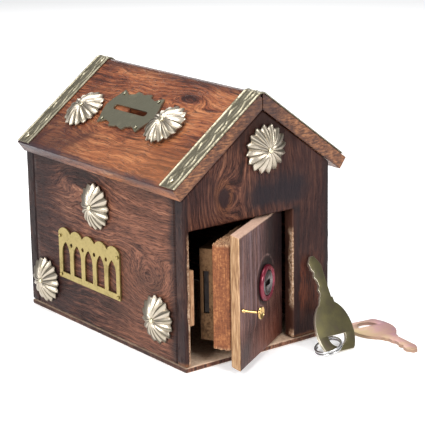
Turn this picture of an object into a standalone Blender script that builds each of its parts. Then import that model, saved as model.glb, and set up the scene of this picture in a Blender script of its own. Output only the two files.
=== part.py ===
"""Hut-shaped wooden money box: a lockable door, brass trim, a coin slot and two keys.

The box stands on z = 0 with its door gable facing -Y. Units are metres.
Everything on the door is modelled in its closed place, relative to the hinge axis,
and the door_hinge empty then swings it open.
"""

import math

import bmesh
import bpy
from mathutils import Matrix, Vector

# ---------------------------------------------------------------- driving sizes
GAP = 0.0003                     # left between pieces that touch

BODY_WIDTH = 0.0880              # outside of the side walls
BODY_LENGTH = 0.1363             # front face to back face
RIDGE_HEIGHT = 0.1272            # where the two roof faces would meet
ROOF_PITCH = math.radians(36.8)
ROOF_REACH = 0.0520              # ridge to eave, measured level
ROOF_SHIFT = 0.0030              # the roof sits off centre, towards the hinge side
ROOF_THICKNESS = 0.0066
RIDGE_ROUND = 0.0030
BASE_THICKNESS = 0.0024
WALL_THICKNESS = 0.0032
GABLE_THICKNESS = 0.0068
BOARD_CHAMFER = 0.0004

DOORWAY_RIGHT = 0.0212           # jamb face; the left wall is the other side
DOORWAY_TOP = 0.0680
HEAD_BLOCK_DEPTH = 0.0080
HEAD_BLOCK_HEIGHT = 0.0080
HEAD_BLOCK_REACH = 0.0090        # past the hinge axis, towards the middle

HINGE_INSET = 0.0043             # hinge axis from the jamb face
HINGE_BACK = 0.0031              # hinge axis behind the front board
HINGE_PIN_RADIUS = 0.0010
HINGE_PIN_GRIP = 0.0085          # length of each pin inside the door
DOOR_OPEN = math.radians(30.8)   # how far the door stands open
DOOR_THICKNESS = 0.0065
DOOR_SIDE_GAP = 0.0003
DOOR_FOOT_GAP = 0.0003
DOOR_TOP_GAP = 0.0008
DOOR_EDGE_BEVEL = 0.0052         # how much shorter the inside face is

KEEPER_THICKNESS = 0.0028
KEEPER_SETBACK = 0.0005
KEEPER_BOTTOM = 0.0220
KEEPER_HEIGHT = 0.0275
KEEPER_TO_DOOR = 0.0005
KEEPER_TO_BOLT = 0.0004

LOCK_FROM_EDGE = 0.0341          # lock axis from the door's free edge
LOCK_HEIGHT = 0.0362
COLLAR_RADIUS = 0.0089
COLLAR_PROUD = 0.0020
BARREL_RADIUS = 0.0082
PLUG_RADIUS = 0.0060
KEYWAY_WIDTH = 0.0066
KEYWAY_HEIGHT = 0.0027
KEYWAY_DEPTH = 0.0160
PACKING_THICKNESS = 0.0087
PACKING_SETBACK = 0.0055         # from the door's free edge
PACKING_WIDTH = 0.0430
PACKING_HEIGHT = 0.0520
CASE_SETBACK = 0.0076
CASE_WIDTH = 0.0400
CASE_HEIGHT = 0.0446
CASE_DEPTH = 0.0070
CASE_SHEET = 0.0008
CASE_SCREW_INSET = 0.0045
CASE_SCREW_RADIUS = 0.0011
CASE_SCREW_HEAD = 0.0024
CASE_SCREW_BITE = 0.0055         # into the packing block
BOLT_HEIGHT = 0.0200
BOLT_LIFT = 0.0012               # the bolt sits a little above the plug's axis
BOLT_THICKNESS = 0.0022
BOLT_THROW = 0.0105
BOLT_HIDDEN = 0.0006             # bolt tip inside the case when drawn back
BOLT_TAIL = 0.0100               # past the lock axis
CAM_THICKNESS = 0.0012
CAM_PIN_RADIUS = 0.0014
CAM_PIN_PLAY = 0.00065

PULL_LENGTH = 0.0101
PULL_STEM_RADIUS = 0.0007
PULL_HEAD_RADIUS = 0.0030
PULL_FROM_EDGE = 0.0026
PULL_HEIGHT = 0.0322
PULL_BITE = 0.0014               # short, or it would come out of the bevelled edge

STRIP_WIDTH_FRONT = 0.0120
STRIP_WIDTH_BACK = 0.0105
STRIP_THICKNESS = 0.0006
STRIP_SHORT_LEFT = 0.0008        # strip end to eave
STRIP_SHORT_RIGHT = 0.0030
STRIP_NAIL_FROM_END = 0.0040

ROSETTE_RADIUS = 0.0122
ROSETTE_RISE = 0.0052
ROSETTE_PETALS = 16
ROSETTE_VALLEY = 0.83            # valley radius over petal radius
ROSETTE_RIM = 0.0005

COIN_PLATE_THICKNESS = 0.0008
COIN_PLATE_Y = 0.0055
COIN_PLATE_DOWN = 0.0292         # plate centre down the slope from the ridge
COIN_SLOT_LENGTH = 0.0277
COIN_SLOT_WIDTH = 0.0032
COIN_SLOT_EASE = 0.0004          # the board is cut a little wider than the plate

FRET_WIDTH = 0.0545
FRET_HEIGHT = 0.0267
FRET_THICKNESS = 0.0008
FRET_Y = 0.01065                 # centre of the plate along the wall
FRET_Z = 0.03595
FRET_ARCHES = 5
FRET_ARCH_WIDTH = 0.0070
FRET_RAIL = 0.0030               # bars above and below the arches
FRET_EYE_RADIUS = 0.0011

NAIL_RADIUS = 0.0005
NAIL_HEAD_RADIUS = 0.0013
NAIL_HEAD_HEIGHT = 0.0006
PLATE_PIN_HEAD = 0.0009
NAIL_BITE = 0.0022
BASE_NAIL_BITE = 0.0080

KEY_LENGTH = 0.0480
KEY_THICKNESS = 0.0016
KEY_BOW_LENGTH = 0.0240
KEY_BOW_HALF = 0.0112
KEY_BLADE_HALF = 0.0037
KEY_FOOT_HALF = 0.0079
KEY_LEAN = math.radians(29.2)
KEY_STAND_X = 0.0304
KEY_STAND_TILT = math.radians(2.0)
KEY_LYING_AT = (0.0648, -0.0678)
KEY_LYING_TURN = math.radians(172.5)
RING_RADIUS = 0.0064
RING_WIRE = 0.00052
RING_TURNS = 1.9
RING_TILT = math.radians(17.0)
RING_LEFT_OF_KEY = 0.0061

# ---------------------------------------------------------------- derived places
FRONT_Y = -BODY_LENGTH / 2
HALF_WIDTH = BODY_WIDTH / 2
FLOOR_TOP = BASE_THICKNESS
INNER_LEFT = -HALF_WIDTH + WALL_THICKNESS
WALL_HALF_LENGTH = BODY_LENGTH / 2 - GABLE_THICKNESS - GAP
RISE_PER_RUN = math.tan(ROOF_PITCH)
UNDER_RIDGE = RIDGE_HEIGHT - ROOF_THICKNESS / math.cos(ROOF_PITCH)
SLOPE_LENGTH = ROOF_REACH / math.cos(ROOF_PITCH)

HINGE_X = DOORWAY_RIGHT - HINGE_INSET
HINGE_Y = FRONT_Y + GABLE_THICKNESS + HINGE_BACK
DOOR_BOTTOM = FLOOR_TOP + DOOR_FOOT_GAP
DOOR_TOP = DOORWAY_TOP - DOOR_TOP_GAP
DOOR_FREE_X = INNER_LEFT + KEEPER_THICKNESS + KEEPER_TO_DOOR - HINGE_X
DOOR_HINGE_X = HINGE_INSET - DOOR_SIDE_GAP
DOOR_INSIDE = DOOR_THICKNESS / 2
LOCK_X = DOOR_FREE_X + LOCK_FROM_EDGE
PACKING_FRONT = DOOR_INSIDE + GAP
PACKING_BACK = PACKING_FRONT + PACKING_THICKNESS
CASE_FRONT = PACKING_BACK + GAP
CASE_BACK = CASE_FRONT + CASE_DEPTH
CASE_LEFT = DOOR_FREE_X + CASE_SETBACK
CASE_RIGHT = CASE_LEFT + CASE_WIDTH
CASE_MIDDLE = LOCK_HEIGHT
CASE_BOTTOM = CASE_MIDDLE - CASE_HEIGHT / 2
CASE_TOP = CASE_MIDDLE + CASE_HEIGHT / 2
COVER_BACK = CASE_FRONT + CASE_SHEET
CAM_FRONT = COVER_BACK + GAP
BOLT_FRONT = CAM_FRONT + CAM_THICKNESS + GAP
BOLT_BACK = BOLT_FRONT + BOLT_THICKNESS
CRANK_RADIUS = BOLT_THROW / (2 * math.sin(math.pi / 4))
KEEPER_BACK = HINGE_Y + BOLT_FRONT - KEEPER_TO_BOLT

# ---------------------------------------------------------------- scene set-up
for old_object in list(bpy.data.objects):
    bpy.data.objects.remove(old_object, do_unlink=True)

parts = bpy.data.collections.new("wooden_money_box")
cutters = bpy.data.collections.new("cutters")
bpy.context.scene.collection.children.link(parts)
bpy.context.scene.collection.children.link(cutters)


def finish(name, colour, roughness, metallic):
    """A plain Principled material."""
    material = bpy.data.materials.new(name)
    material.use_nodes = True
    shader = material.node_tree.nodes["Principled BSDF"]
    shader.inputs["Base Color"].default_value = (*colour, 1.0)
    shader.inputs["Roughness"].default_value = roughness
    shader.inputs["Metallic"].default_value = metallic
    return material


BURNT_WOOD = ((0.16, 0.06, 0.035), 0.55, 0.0)
ROOF_WOOD = ((0.32, 0.12, 0.05), 0.5, 0.0)
RAW_WOOD = ((0.58, 0.36, 0.18), 0.8, 0.0)
PACKING_WOOD = ((0.45, 0.19, 0.07), 0.85, 0.0)
PALE_BRASS = ((0.72, 0.64, 0.45), 0.3, 1.0)
DULL_BRASS = ((0.36, 0.33, 0.24), 0.45, 1.0)
YELLOW_BRASS = ((0.70, 0.54, 0.20), 0.35, 1.0)
DARK_STEEL = ((0.12, 0.11, 0.11), 0.45, 1.0)
BRIGHT_STEEL = ((0.6, 0.6, 0.6), 0.25, 1.0)
LOCK_SHEET = ((0.50, 0.38, 0.22), 0.5, 1.0)
CRIMSON = ((0.35, 0.03, 0.06), 0.35, 0.3)
OLIVE_PLATING = ((0.22, 0.20, 0.10), 0.4, 1.0)
ROSY_PLATING = ((0.75, 0.52, 0.42), 0.35, 1.0)


def place(name, mesh, look, frame=Matrix.Identity(4), parent=None):
    """Put a mesh into the parts collection as one named piece."""
    piece = bpy.data.objects.new(name, mesh)
    parts.objects.link(piece)
    piece.data.materials.clear()
    piece.data.materials.append(finish(name + "_finish", *look))
    piece.parent = parent
    piece.matrix_basis = frame
    return piece


def as_cutter(cutter):
    """Hide a shape that only cuts others."""
    for holder in list(cutter.users_collection):
        holder.objects.unlink(cutter)
    cutters.objects.link(cutter)
    cutter.hide_render = True
    cutter.display_type = "WIRE"
    return cutter


def combine(piece, tool, operation="DIFFERENCE"):
    """Cut a tool out of a piece, or join it on."""
    step = piece.modifiers.new(operation.title(), "BOOLEAN")
    step.operation = operation
    step.solver = "EXACT"
    step.object = as_cutter(tool)


def soften(piece, width=BOARD_CHAMFER):
    """Take the sharp arris off a piece."""
    step = piece.modifiers.new("Arris", "BEVEL")
    step.width = width
    step.segments = 1
    step.limit_method = "ANGLE"
    step.angle_limit = math.radians(35)


def box_mesh(name, low, high):
    """A box between two corners."""
    bm = bmesh.new()
    bmesh.ops.create_cube(bm, size=1.0)
    size = Vector(high) - Vector(low)
    middle = (Vector(high) + Vector(low)) / 2
    bmesh.ops.transform(bm, matrix=Matrix.Translation(middle) @ Matrix.Diagonal((*size, 1)),
                        verts=bm.verts)
    mesh = bpy.data.meshes.new(name)
    bm.to_mesh(mesh)
    bm.free()
    return mesh


def rod_mesh(name, radius, start, end, sides=16):
    """A round rod between two points."""
    start, end = Vector(start), Vector(end)
    run = end - start
    turn = run.to_track_quat("Z", "Y").to_matrix().to_4x4()
    bm = bmesh.new()
    bmesh.ops.create_cone(bm, cap_ends=True, segments=sides, radius1=radius, radius2=radius,
                          depth=run.length,
                          matrix=Matrix.Translation((start + end) / 2) @ turn)
    mesh = bpy.data.meshes.new(name)
    bm.to_mesh(mesh)
    bm.free()
    mesh.shade_smooth()
    mesh.set_sharp_from_angle(angle=math.radians(40))
    return mesh


def flat_mesh(name, outlines, thickness):
    """A flat plate from closed outlines; inner outlines are holes."""
    drawing = bpy.data.curves.new(name + "_outline", "CURVE")
    drawing.dimensions = "2D"
    drawing.fill_mode = "BOTH"
    drawing.extrude = thickness / 2
    for outline in outlines:
        spline = drawing.splines.new("POLY")
        spline.points.add(len(outline) - 1)
        for point, (x, y) in zip(spline.points, outline):
            point.co = (x, y, 0, 1)
        spline.use_cyclic_u = True
    holder = bpy.data.objects.new(name + "_outline", drawing)
    parts.objects.link(holder)
    bpy.context.view_layer.update()
    evaluated = holder.evaluated_get(bpy.context.evaluated_depsgraph_get())
    mesh = bpy.data.meshes.new_from_object(evaluated)
    bpy.data.objects.remove(holder, do_unlink=True)
    bm = bmesh.new()
    bm.from_mesh(mesh)
    bmesh.ops.remove_doubles(bm, verts=bm.verts, dist=0.00001)
    bmesh.ops.recalc_face_normals(bm, faces=bm.faces)
    bm.to_mesh(mesh)
    bm.free()
    return mesh


def turned(name, profile, look, frame=Matrix.Identity(4), parent=None, sides=32):
    """A turned piece from a profile of (radius, height) that runs top to bottom."""
    bm = bmesh.new()
    points = [bm.verts.new((radius, 0, height)) for radius, height in profile]
    for first, second in zip(points, points[1:]):
        bm.edges.new((first, second))
    mesh = bpy.data.meshes.new(name)
    bm.to_mesh(mesh)
    bm.free()
    piece = place(name, mesh, look, frame, parent)
    screw = piece.modifiers.new("Lathe", "SCREW")
    screw.axis = "Z"
    screw.steps = sides
    screw.render_steps = sides
    screw.use_merge_vertices = True
    screw.merge_threshold = 0.00001
    screw.use_smooth_shade = True
    return piece


def join_meshes(name, meshes):
    """Several cutting shapes in one mesh."""
    bm = bmesh.new()
    for mesh in meshes:
        bm.from_mesh(mesh)
        bpy.data.meshes.remove(mesh)
    joined = bpy.data.meshes.new(name)
    bm.to_mesh(joined)
    bm.free()
    joined.shade_smooth()
    joined.set_sharp_from_angle(angle=math.radians(40))
    return joined


def nail(name, frame, bite, look, head=NAIL_HEAD_RADIUS, rise=NAIL_HEAD_HEIGHT,
         radius=NAIL_RADIUS, parent=None):
    """A nail in a frame whose +Z leaves the surface; its head stands on z = 0."""
    shank = bmesh.new()
    rings = [(radius, -bite), (radius, 0.0), (head, 0.0), (head, rise * 0.4),
             (head * 0.55, rise)]
    loops = []
    for ring_radius, height in rings:
        made = bmesh.ops.create_circle(shank, segments=10, radius=ring_radius,
                                       matrix=Matrix.Translation((0, 0, height)))
        loops.append(made["verts"])
    for lower, upper in zip(loops, loops[1:]):
        for index, corner in enumerate(lower):
            following = (index + 1) % len(lower)
            shank.faces.new((corner, lower[following], upper[following], upper[index]))
    shank.faces.new(loops[0][::-1])
    shank.faces.new(loops[-1])
    bmesh.ops.recalc_face_normals(shank, faces=shank.faces)
    mesh = bpy.data.meshes.new(name)
    shank.to_mesh(mesh)
    shank.free()
    return place(name, mesh, look, frame, parent)


def nail_holes(name, frames, bite, radius=NAIL_RADIUS):
    """Blind holes for nails, as one cutter."""
    rods = []
    for frame in frames:
        rods.append(rod_mesh(name, radius + GAP, frame @ Vector((0, 0, -bite - GAP)),
                             frame @ Vector((0, 0, 0.004)), sides=10))
    hole = bpy.data.objects.new(name, join_meshes(name, rods))
    parts.objects.link(hole)
    return hole


def arc(centre, radius, start, end, steps):
    """Points on an arc, angles in degrees."""
    points = []
    for step in range(steps + 1):
        angle = math.radians(start + (end - start) * step / steps)
        points.append((centre[0] + radius * math.cos(angle),
                       centre[1] + radius * math.sin(angle)))
    return points


def axes(origin, x_axis, y_axis):
    """A frame from its origin and its first two axes."""
    x_axis, y_axis = Vector(x_axis).normalized(), Vector(y_axis).normalized()
    z_axis = x_axis.cross(y_axis)
    turn = Matrix((x_axis, y_axis, z_axis)).transposed().to_4x4()
    return Matrix.Translation(origin) @ turn


def shifted(frame, x, y, z=0.0):
    return frame @ Matrix.Translation((x, y, z))


# Frames whose +Z leaves the outer face of a board.
LEFT_FACE = axes((-HALF_WIDTH, 0, 0), (0, -1, 0), (0, 0, 1))
FRONT_FACE = axes((0, FRONT_Y, 0), (1, 0, 0), (0, 0, 1))
SLOPE_FACE = axes((ROOF_SHIFT, 0, RIDGE_HEIGHT),
                  (-math.cos(ROOF_PITCH), 0, -math.sin(ROOF_PITCH)), (0, -1, 0))
RIGHT_SLOPE = axes((ROOF_SHIFT, 0, RIDGE_HEIGHT),
                   (math.cos(ROOF_PITCH), 0, -math.sin(ROOF_PITCH)), (0, 1, 0))
UNDERSIDE = axes((0, 0, 0), (1, 0, 0), (0, -1, 0))


# ---------------------------------------------------------------- box: base and walls
def under_roof(x):
    """Height just under the roof boards, above a point across the box."""
    return UNDER_RIDGE - RISE_PER_RUN * abs(x - ROOF_SHIFT) - GAP / math.cos(ROOF_PITCH)


def board(name, outline, y_middle, thickness, look):
    """A board whose outline is drawn looking along +Y."""
    mesh = flat_mesh(name, [outline], thickness)
    frame = axes((0, y_middle, 0), (1, 0, 0), (0, 0, 1))
    piece = place(name, mesh, look, frame)
    soften(piece)
    return piece


base_board = place("base_board", box_mesh("base_board", (-HALF_WIDTH, FRONT_Y, 0),
                                          (HALF_WIDTH, -FRONT_Y, BASE_THICKNESS)), BURNT_WOOD)

wall_foot = FLOOR_TOP + GAP
left_wall = board("left_wall", [(-HALF_WIDTH, wall_foot), (INNER_LEFT, wall_foot),
                                (INNER_LEFT, under_roof(INNER_LEFT)),
                                (-HALF_WIDTH, under_roof(-HALF_WIDTH))],
                  0, 2 * WALL_HALF_LENGTH, BURNT_WOOD)
right_wall = board("right_wall", [(-INNER_LEFT, wall_foot), (HALF_WIDTH, wall_foot),
                                  (HALF_WIDTH, under_roof(HALF_WIDTH)),
                                  (-INNER_LEFT, under_roof(-INNER_LEFT))],
                   0, 2 * WALL_HALF_LENGTH, BURNT_WOOD)

gable_top = [(HALF_WIDTH, under_roof(HALF_WIDTH)), (ROOF_SHIFT, under_roof(ROOF_SHIFT)),
             (-HALF_WIDTH, under_roof(-HALF_WIDTH))]
front_gable = board("front_gable", [(-HALF_WIDTH, wall_foot), (INNER_LEFT, wall_foot),
                                    (INNER_LEFT, DOORWAY_TOP), (DOORWAY_RIGHT, DOORWAY_TOP),
                                    (DOORWAY_RIGHT, wall_foot), (HALF_WIDTH, wall_foot)]
                    + gable_top, FRONT_Y + GABLE_THICKNESS / 2, GABLE_THICKNESS, BURNT_WOOD)
back_gable = board("back_gable", [(-HALF_WIDTH, wall_foot), (HALF_WIDTH, wall_foot)]
                   + gable_top, -FRONT_Y - GABLE_THICKNESS / 2, GABLE_THICKNESS, BURNT_WOOD)


# ---------------------------------------------------------------- roof
def roof_line(offset, left_end, right_end):
    """The line over the roof at an offset from its faces, left eave to right eave."""
    centre = (ROOF_SHIFT, RIDGE_HEIGHT - RIDGE_ROUND / math.cos(ROOF_PITCH))
    pitch = math.degrees(ROOF_PITCH)
    crown = arc(centre, RIDGE_ROUND + offset, 90 + pitch, 90 - pitch, 6)
    ends = []
    for slope, distance in ((SLOPE_FACE, left_end), (RIGHT_SLOPE, right_end)):
        point = slope @ Vector((distance, 0, offset))
        ends.append((point.x, point.z))
    return [ends[0]] + crown + [ends[1]]


half_joint = GAP / 2
outer_line = roof_line(0.0, SLOPE_LENGTH, SLOPE_LENGTH)
middle = len(outer_line) // 2
eave_under = [slope @ Vector((SLOPE_LENGTH, 0, -ROOF_THICKNESS))
              for slope in (SLOPE_FACE, RIGHT_SLOPE)]
left_outline = (outer_line[:middle] + [(ROOF_SHIFT - half_joint, outer_line[middle][1]),
                                       (ROOF_SHIFT - half_joint, UNDER_RIDGE),
                                       (eave_under[0].x, eave_under[0].z)])
right_outline = ([(eave_under[1].x, eave_under[1].z),
                  (ROOF_SHIFT + half_joint, UNDER_RIDGE),
                  (ROOF_SHIFT + half_joint, outer_line[middle][1])] + outer_line[middle + 1:])
roof_left = board("roof_left", left_outline, 0, BODY_LENGTH, ROOF_WOOD)
roof_right = board("roof_right", right_outline, 0, BODY_LENGTH, ROOF_WOOD)


# ---------------------------------------------------------------- brass strips
def strip(name, width, y_middle):
    left_end, right_end = SLOPE_LENGTH - STRIP_SHORT_LEFT, SLOPE_LENGTH - STRIP_SHORT_RIGHT
    outer = roof_line(GAP + STRIP_THICKNESS, left_end, right_end)
    inner = roof_line(GAP, left_end, right_end)
    mesh = flat_mesh(name, [outer + inner[::-1]], width)
    return place(name, mesh, PALE_BRASS, axes((0, y_middle, 0), (1, 0, 0), (0, 0, 1)))


strip_front_y = FRONT_Y + STRIP_WIDTH_FRONT / 2
strip_back_y = -FRONT_Y - STRIP_WIDTH_BACK / 2
strip_front = strip("strip_front", STRIP_WIDTH_FRONT, strip_front_y)
strip_back = strip("strip_back", STRIP_WIDTH_BACK, strip_back_y)

strip_lift = 2 * GAP + STRIP_THICKNESS
strip_nail_bite = NAIL_BITE + strip_lift
for cut_strip, strip_y in ((strip_front, strip_front_y), (strip_back, strip_back_y)):
    for cut_roof, slope, side, along in (
            (roof_left, SLOPE_FACE, "left", SLOPE_LENGTH - STRIP_SHORT_LEFT),
            (roof_right, RIGHT_SLOPE, "right", SLOPE_LENGTH - STRIP_SHORT_RIGHT)):
        across = -strip_y if side == "left" else strip_y
        frame = shifted(slope, along - STRIP_NAIL_FROM_END, across, strip_lift)
        nail_name = cut_strip.name.replace("strip", "strip_nail") + "_" + side
        nail(nail_name, frame, strip_nail_bite, PALE_BRASS)
        combine(cut_strip, nail_holes(nail_name + "_strip_hole", [frame], strip_nail_bite))
        combine(cut_roof, nail_holes(nail_name + "_roof_hole", [frame], strip_nail_bite))


# ---------------------------------------------------------------- rosettes
def rosette_mesh(name):
    """A pressed rosette: pleated petals that rise to a hub with a nail hole."""
    hole = NAIL_RADIUS + GAP
    rings = [(hole, 0.0, 0.0, 0.0), (hole, 0.82, 0.0, 0.0), (0.16, 0.88, 0.02, 0.0),
             (0.34, 1.0, 0.07, 0.0), (0.62, 0.80, 0.10, 0.2), (0.86, 0.42, 0.10, 0.6),
             (1.0, 0.0, 0.0, 1.0), (1.0, None, 0.0, 1.0)]
    bm = bmesh.new()
    loops = []
    count = 2 * ROSETTE_PETALS
    for reach, height, pleat, scallop in rings:
        loop = []
        for index in range(count):
            ridge = index % 2 == 0
            angle = 2 * math.pi * index / count
            radius = reach if reach == hole else reach * ROSETTE_RADIUS
            if not ridge:
                radius *= 1 - (1 - ROSETTE_VALLEY) * scallop
            level = 0.0
            if height is not None:
                lift = height + (pleat if ridge else -pleat)
                level = ROSETTE_RISE * lift + ROSETTE_RIM * (reach > 0.9)
            loop.append(bm.verts.new((radius * math.cos(angle), radius * math.sin(angle),
                                      level)))
        loops.append(loop)
    for lower, upper in zip(loops, loops[1:] + loops[:1]):
        for index in range(count):
            following = (index + 1) % count
            bm.faces.new((lower[index], lower[following], upper[following], upper[index]))
    bmesh.ops.recalc_face_normals(bm, faces=bm.faces)
    mesh = bpy.data.meshes.new(name)
    bm.to_mesh(mesh)
    bm.free()
    return mesh


rosette_spots = {
    "rosette_gable": shifted(FRONT_FACE, 0.0039, 0.1003),
    "rosette_wall_top": shifted(LEFT_FACE, -0.0030, 0.0665),
    "rosette_wall_front": shifted(LEFT_FACE, 0.0476, 0.0218),
    "rosette_wall_rear": shifted(LEFT_FACE, -0.0516, 0.0175),
    "rosette_roof_front": shifted(SLOPE_FACE, 0.0326, 0.0285),
    "rosette_roof_rear": shifted(SLOPE_FACE, 0.0355, -0.0388),
}
plate_lift = GAP + COIN_PLATE_THICKNESS
rosette_nail_frames = {}
for spot, frame in rosette_spots.items():
    seat = GAP + (plate_lift if spot == "rosette_roof_front" else 0.0)
    place(spot, rosette_mesh(spot), PALE_BRASS, shifted(frame, 0, 0, seat))
    rosette_nail_frames[spot] = shifted(frame, 0, 0, seat + 0.82 * ROSETTE_RISE + GAP)
rosette_nail_bite = NAIL_BITE + ROSETTE_RISE
for spot, frame in rosette_nail_frames.items():
    nail(spot.replace("rosette", "rosette_pin"), frame, rosette_nail_bite, PALE_BRASS)
for cut_piece, held in ((front_gable, ["rosette_gable"]),
                        (left_wall, ["rosette_wall_top", "rosette_wall_front",
                                     "rosette_wall_rear"]),
                        (roof_left, ["rosette_roof_front", "rosette_roof_rear"])):
    combine(cut_piece, nail_holes(cut_piece.name + "_rosette_holes",
                                  [rosette_nail_frames[spot] for spot in held],
                                  rosette_nail_bite))

# ---------------------------------------------------------------- coin plate and slot
quarter = [(0.0000, 0.0106), (0.0022, 0.0114), (0.0058, 0.0119), (0.0066, 0.0100),
           (0.0112, 0.0088), (0.0132, 0.0098), (0.0164, 0.0114), (0.0176, 0.0080),
           (0.0196, 0.0042), (0.0208, 0.0000)]
upper_half = quarter + [(x, -y) for x, y in quarter[-2::-1]]
plate_outline = upper_half + [(-x, y) for x, y in upper_half[-2:0:-1]]


def slot_outline(length, width):
    end = length / 2 - width / 2
    return arc((end, 0), width / 2, -90, 90, 6) + arc((-end, 0), width / 2, 90, 270, 6)


plate_frame = axes(SLOPE_FACE @ Vector((COIN_PLATE_DOWN, -COIN_PLATE_Y, 0)), (0, -1, 0),
                   (math.cos(ROOF_PITCH), 0, math.sin(ROOF_PITCH)))
place("coin_plate", flat_mesh("coin_plate", [plate_outline,
                                             slot_outline(COIN_SLOT_LENGTH, COIN_SLOT_WIDTH)],
                              COIN_PLATE_THICKNESS), DULL_BRASS,
      shifted(plate_frame, 0, 0, GAP + COIN_PLATE_THICKNESS / 2))
coin_plate = bpy.data.objects["coin_plate"]
slot_cutter = place("coin_slot_cut",
                    flat_mesh("coin_slot_cut", [slot_outline(COIN_SLOT_LENGTH + COIN_SLOT_EASE,
                                                             COIN_SLOT_WIDTH + COIN_SLOT_EASE)],
                              4 * ROOF_THICKNESS), RAW_WOOD, plate_frame)
combine(roof_left, slot_cutter)

plate_pin_frames = []
plate_pin_bite = NAIL_BITE + plate_lift
for side_x in (-1, 1):
    for side_y in (-1, 1):
        frame = shifted(plate_frame, side_x * 0.0146, side_y * 0.0088, plate_lift + GAP)
        plate_pin_frames.append(frame)
        nail(f"coin_plate_pin_{len(plate_pin_frames)}", frame, plate_pin_bite, PALE_BRASS,
             head=PLATE_PIN_HEAD)
combine(coin_plate, nail_holes("coin_plate_holes", plate_pin_frames, plate_pin_bite))
combine(roof_left, nail_holes("roof_left_plate_holes", plate_pin_frames, plate_pin_bite))


# ---------------------------------------------------------------- pierced wall plate
def pointed_arch(middle_x, width, foot, spring, steps=5):
    """A window opening with two arcs that meet in a point."""
    half = width / 2
    radius = width * 1.15
    lean = math.degrees(math.acos((radius - half) / radius))
    right_side = arc((middle_x + half - radius, spring), radius, 0, lean, steps)
    left_side = [(2 * middle_x - x, y) for x, y in right_side[-2::-1]]
    return [(middle_x - half, foot), (middle_x + half, foot)] + right_side + left_side


fret_half_w, fret_half_h = FRET_WIDTH / 2, FRET_HEIGHT / 2
arch_pitch = (FRET_WIDTH - 2 * FRET_RAIL + (FRET_WIDTH - 2 * FRET_RAIL
              - FRET_ARCHES * FRET_ARCH_WIDTH) / (FRET_ARCHES - 1)) / FRET_ARCHES
lobe_width = FRET_WIDTH / FRET_ARCHES
lobe_radius = lobe_width * 0.62
lobe_start = math.degrees(math.acos(lobe_width / 2 / lobe_radius))
fret_outline = [(-fret_half_w, -fret_half_h), (fret_half_w, -fret_half_h)]
for lobe in reversed(range(FRET_ARCHES)):
    lobe_x = (lobe - (FRET_ARCHES - 1) / 2) * lobe_width
    lobe_points = arc((lobe_x, fret_half_h - lobe_radius), lobe_radius, lobe_start,
                      180 - lobe_start, 6)
    fret_outline += lobe_points if lobe == 0 else lobe_points[:-1]
fret_holes = []
arch_spring = fret_half_h - FRET_RAIL - FRET_ARCH_WIDTH * 1.55
for index in range(FRET_ARCHES):
    arch_x = (index - (FRET_ARCHES - 1) / 2) * arch_pitch
    fret_holes.append(pointed_arch(arch_x, FRET_ARCH_WIDTH, -fret_half_h + FRET_RAIL,
                                   arch_spring))
for index in range(FRET_ARCHES - 1):
    eye_x = (index + 1 - FRET_ARCHES / 2) * arch_pitch
    fret_holes.append(arc((eye_x, arch_spring + FRET_ARCH_WIDTH * 0.82), FRET_EYE_RADIUS,
                          0, 324, 9))
fret_frame = shifted(LEFT_FACE, -FRET_Y, FRET_Z)
fretwork_plate = place("fretwork_plate", flat_mesh("fretwork_plate",
                                                   [fret_outline] + fret_holes,
                                                   FRET_THICKNESS), YELLOW_BRASS,
                       shifted(fret_frame, 0, 0, GAP + FRET_THICKNESS / 2))
fret_pin_frames = []
for side_x in (-1, 1):
    for side_y in (-1, 0.72):
        frame = shifted(fret_frame, side_x * (fret_half_w - FRET_RAIL / 2),
                        side_y * (fret_half_h - FRET_RAIL / 2), FRET_THICKNESS + 2 * GAP)
        fret_pin_frames.append(frame)
        nail(f"fretwork_pin_{len(fret_pin_frames)}", frame, plate_pin_bite, YELLOW_BRASS,
             head=PLATE_PIN_HEAD)
combine(fretwork_plate, nail_holes("fretwork_holes", fret_pin_frames, plate_pin_bite))
combine(left_wall, nail_holes("left_wall_fretwork_holes", fret_pin_frames, plate_pin_bite))

# ---------------------------------------------------------------- nails under the base
def base_nail(name, x, y, bite, board_held, radius=NAIL_RADIUS, head=NAIL_HEAD_RADIUS):
    """A nail driven up through the base, its head sunk in the underside."""
    frame = shifted(UNDERSIDE, x, -y, -NAIL_HEAD_HEIGHT - GAP)
    nail(name, frame, bite, DARK_STEEL, head=head, radius=radius)
    pocket = place(name + "_pocket", rod_mesh("pocket", head + GAP,
                                              frame @ Vector((0, 0, -GAP)),
                                              frame @ Vector((0, 0, 0.003))), RAW_WOOD)
    combine(base_board, pocket)
    combine(base_board, nail_holes(name + "_base_hole", [frame], bite, radius))
    if board_held:
        combine(board_held, nail_holes(name + "_board_hole", [frame], bite, radius))


base_nail("base_nail_front", (DOORWAY_RIGHT + HALF_WIDTH) / 2, FRONT_Y + GABLE_THICKNESS / 2,
          BASE_NAIL_BITE, front_gable)
base_nail("base_nail_back", 0.0, -FRONT_Y - GABLE_THICKNESS / 2, BASE_NAIL_BITE, back_gable)
base_nail("base_nail_left", -HALF_WIDTH + WALL_THICKNESS / 2, 0.0, BASE_NAIL_BITE, left_wall)
base_nail("base_nail_right", HALF_WIDTH - WALL_THICKNESS / 2, 0.0, BASE_NAIL_BITE, right_wall)

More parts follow.
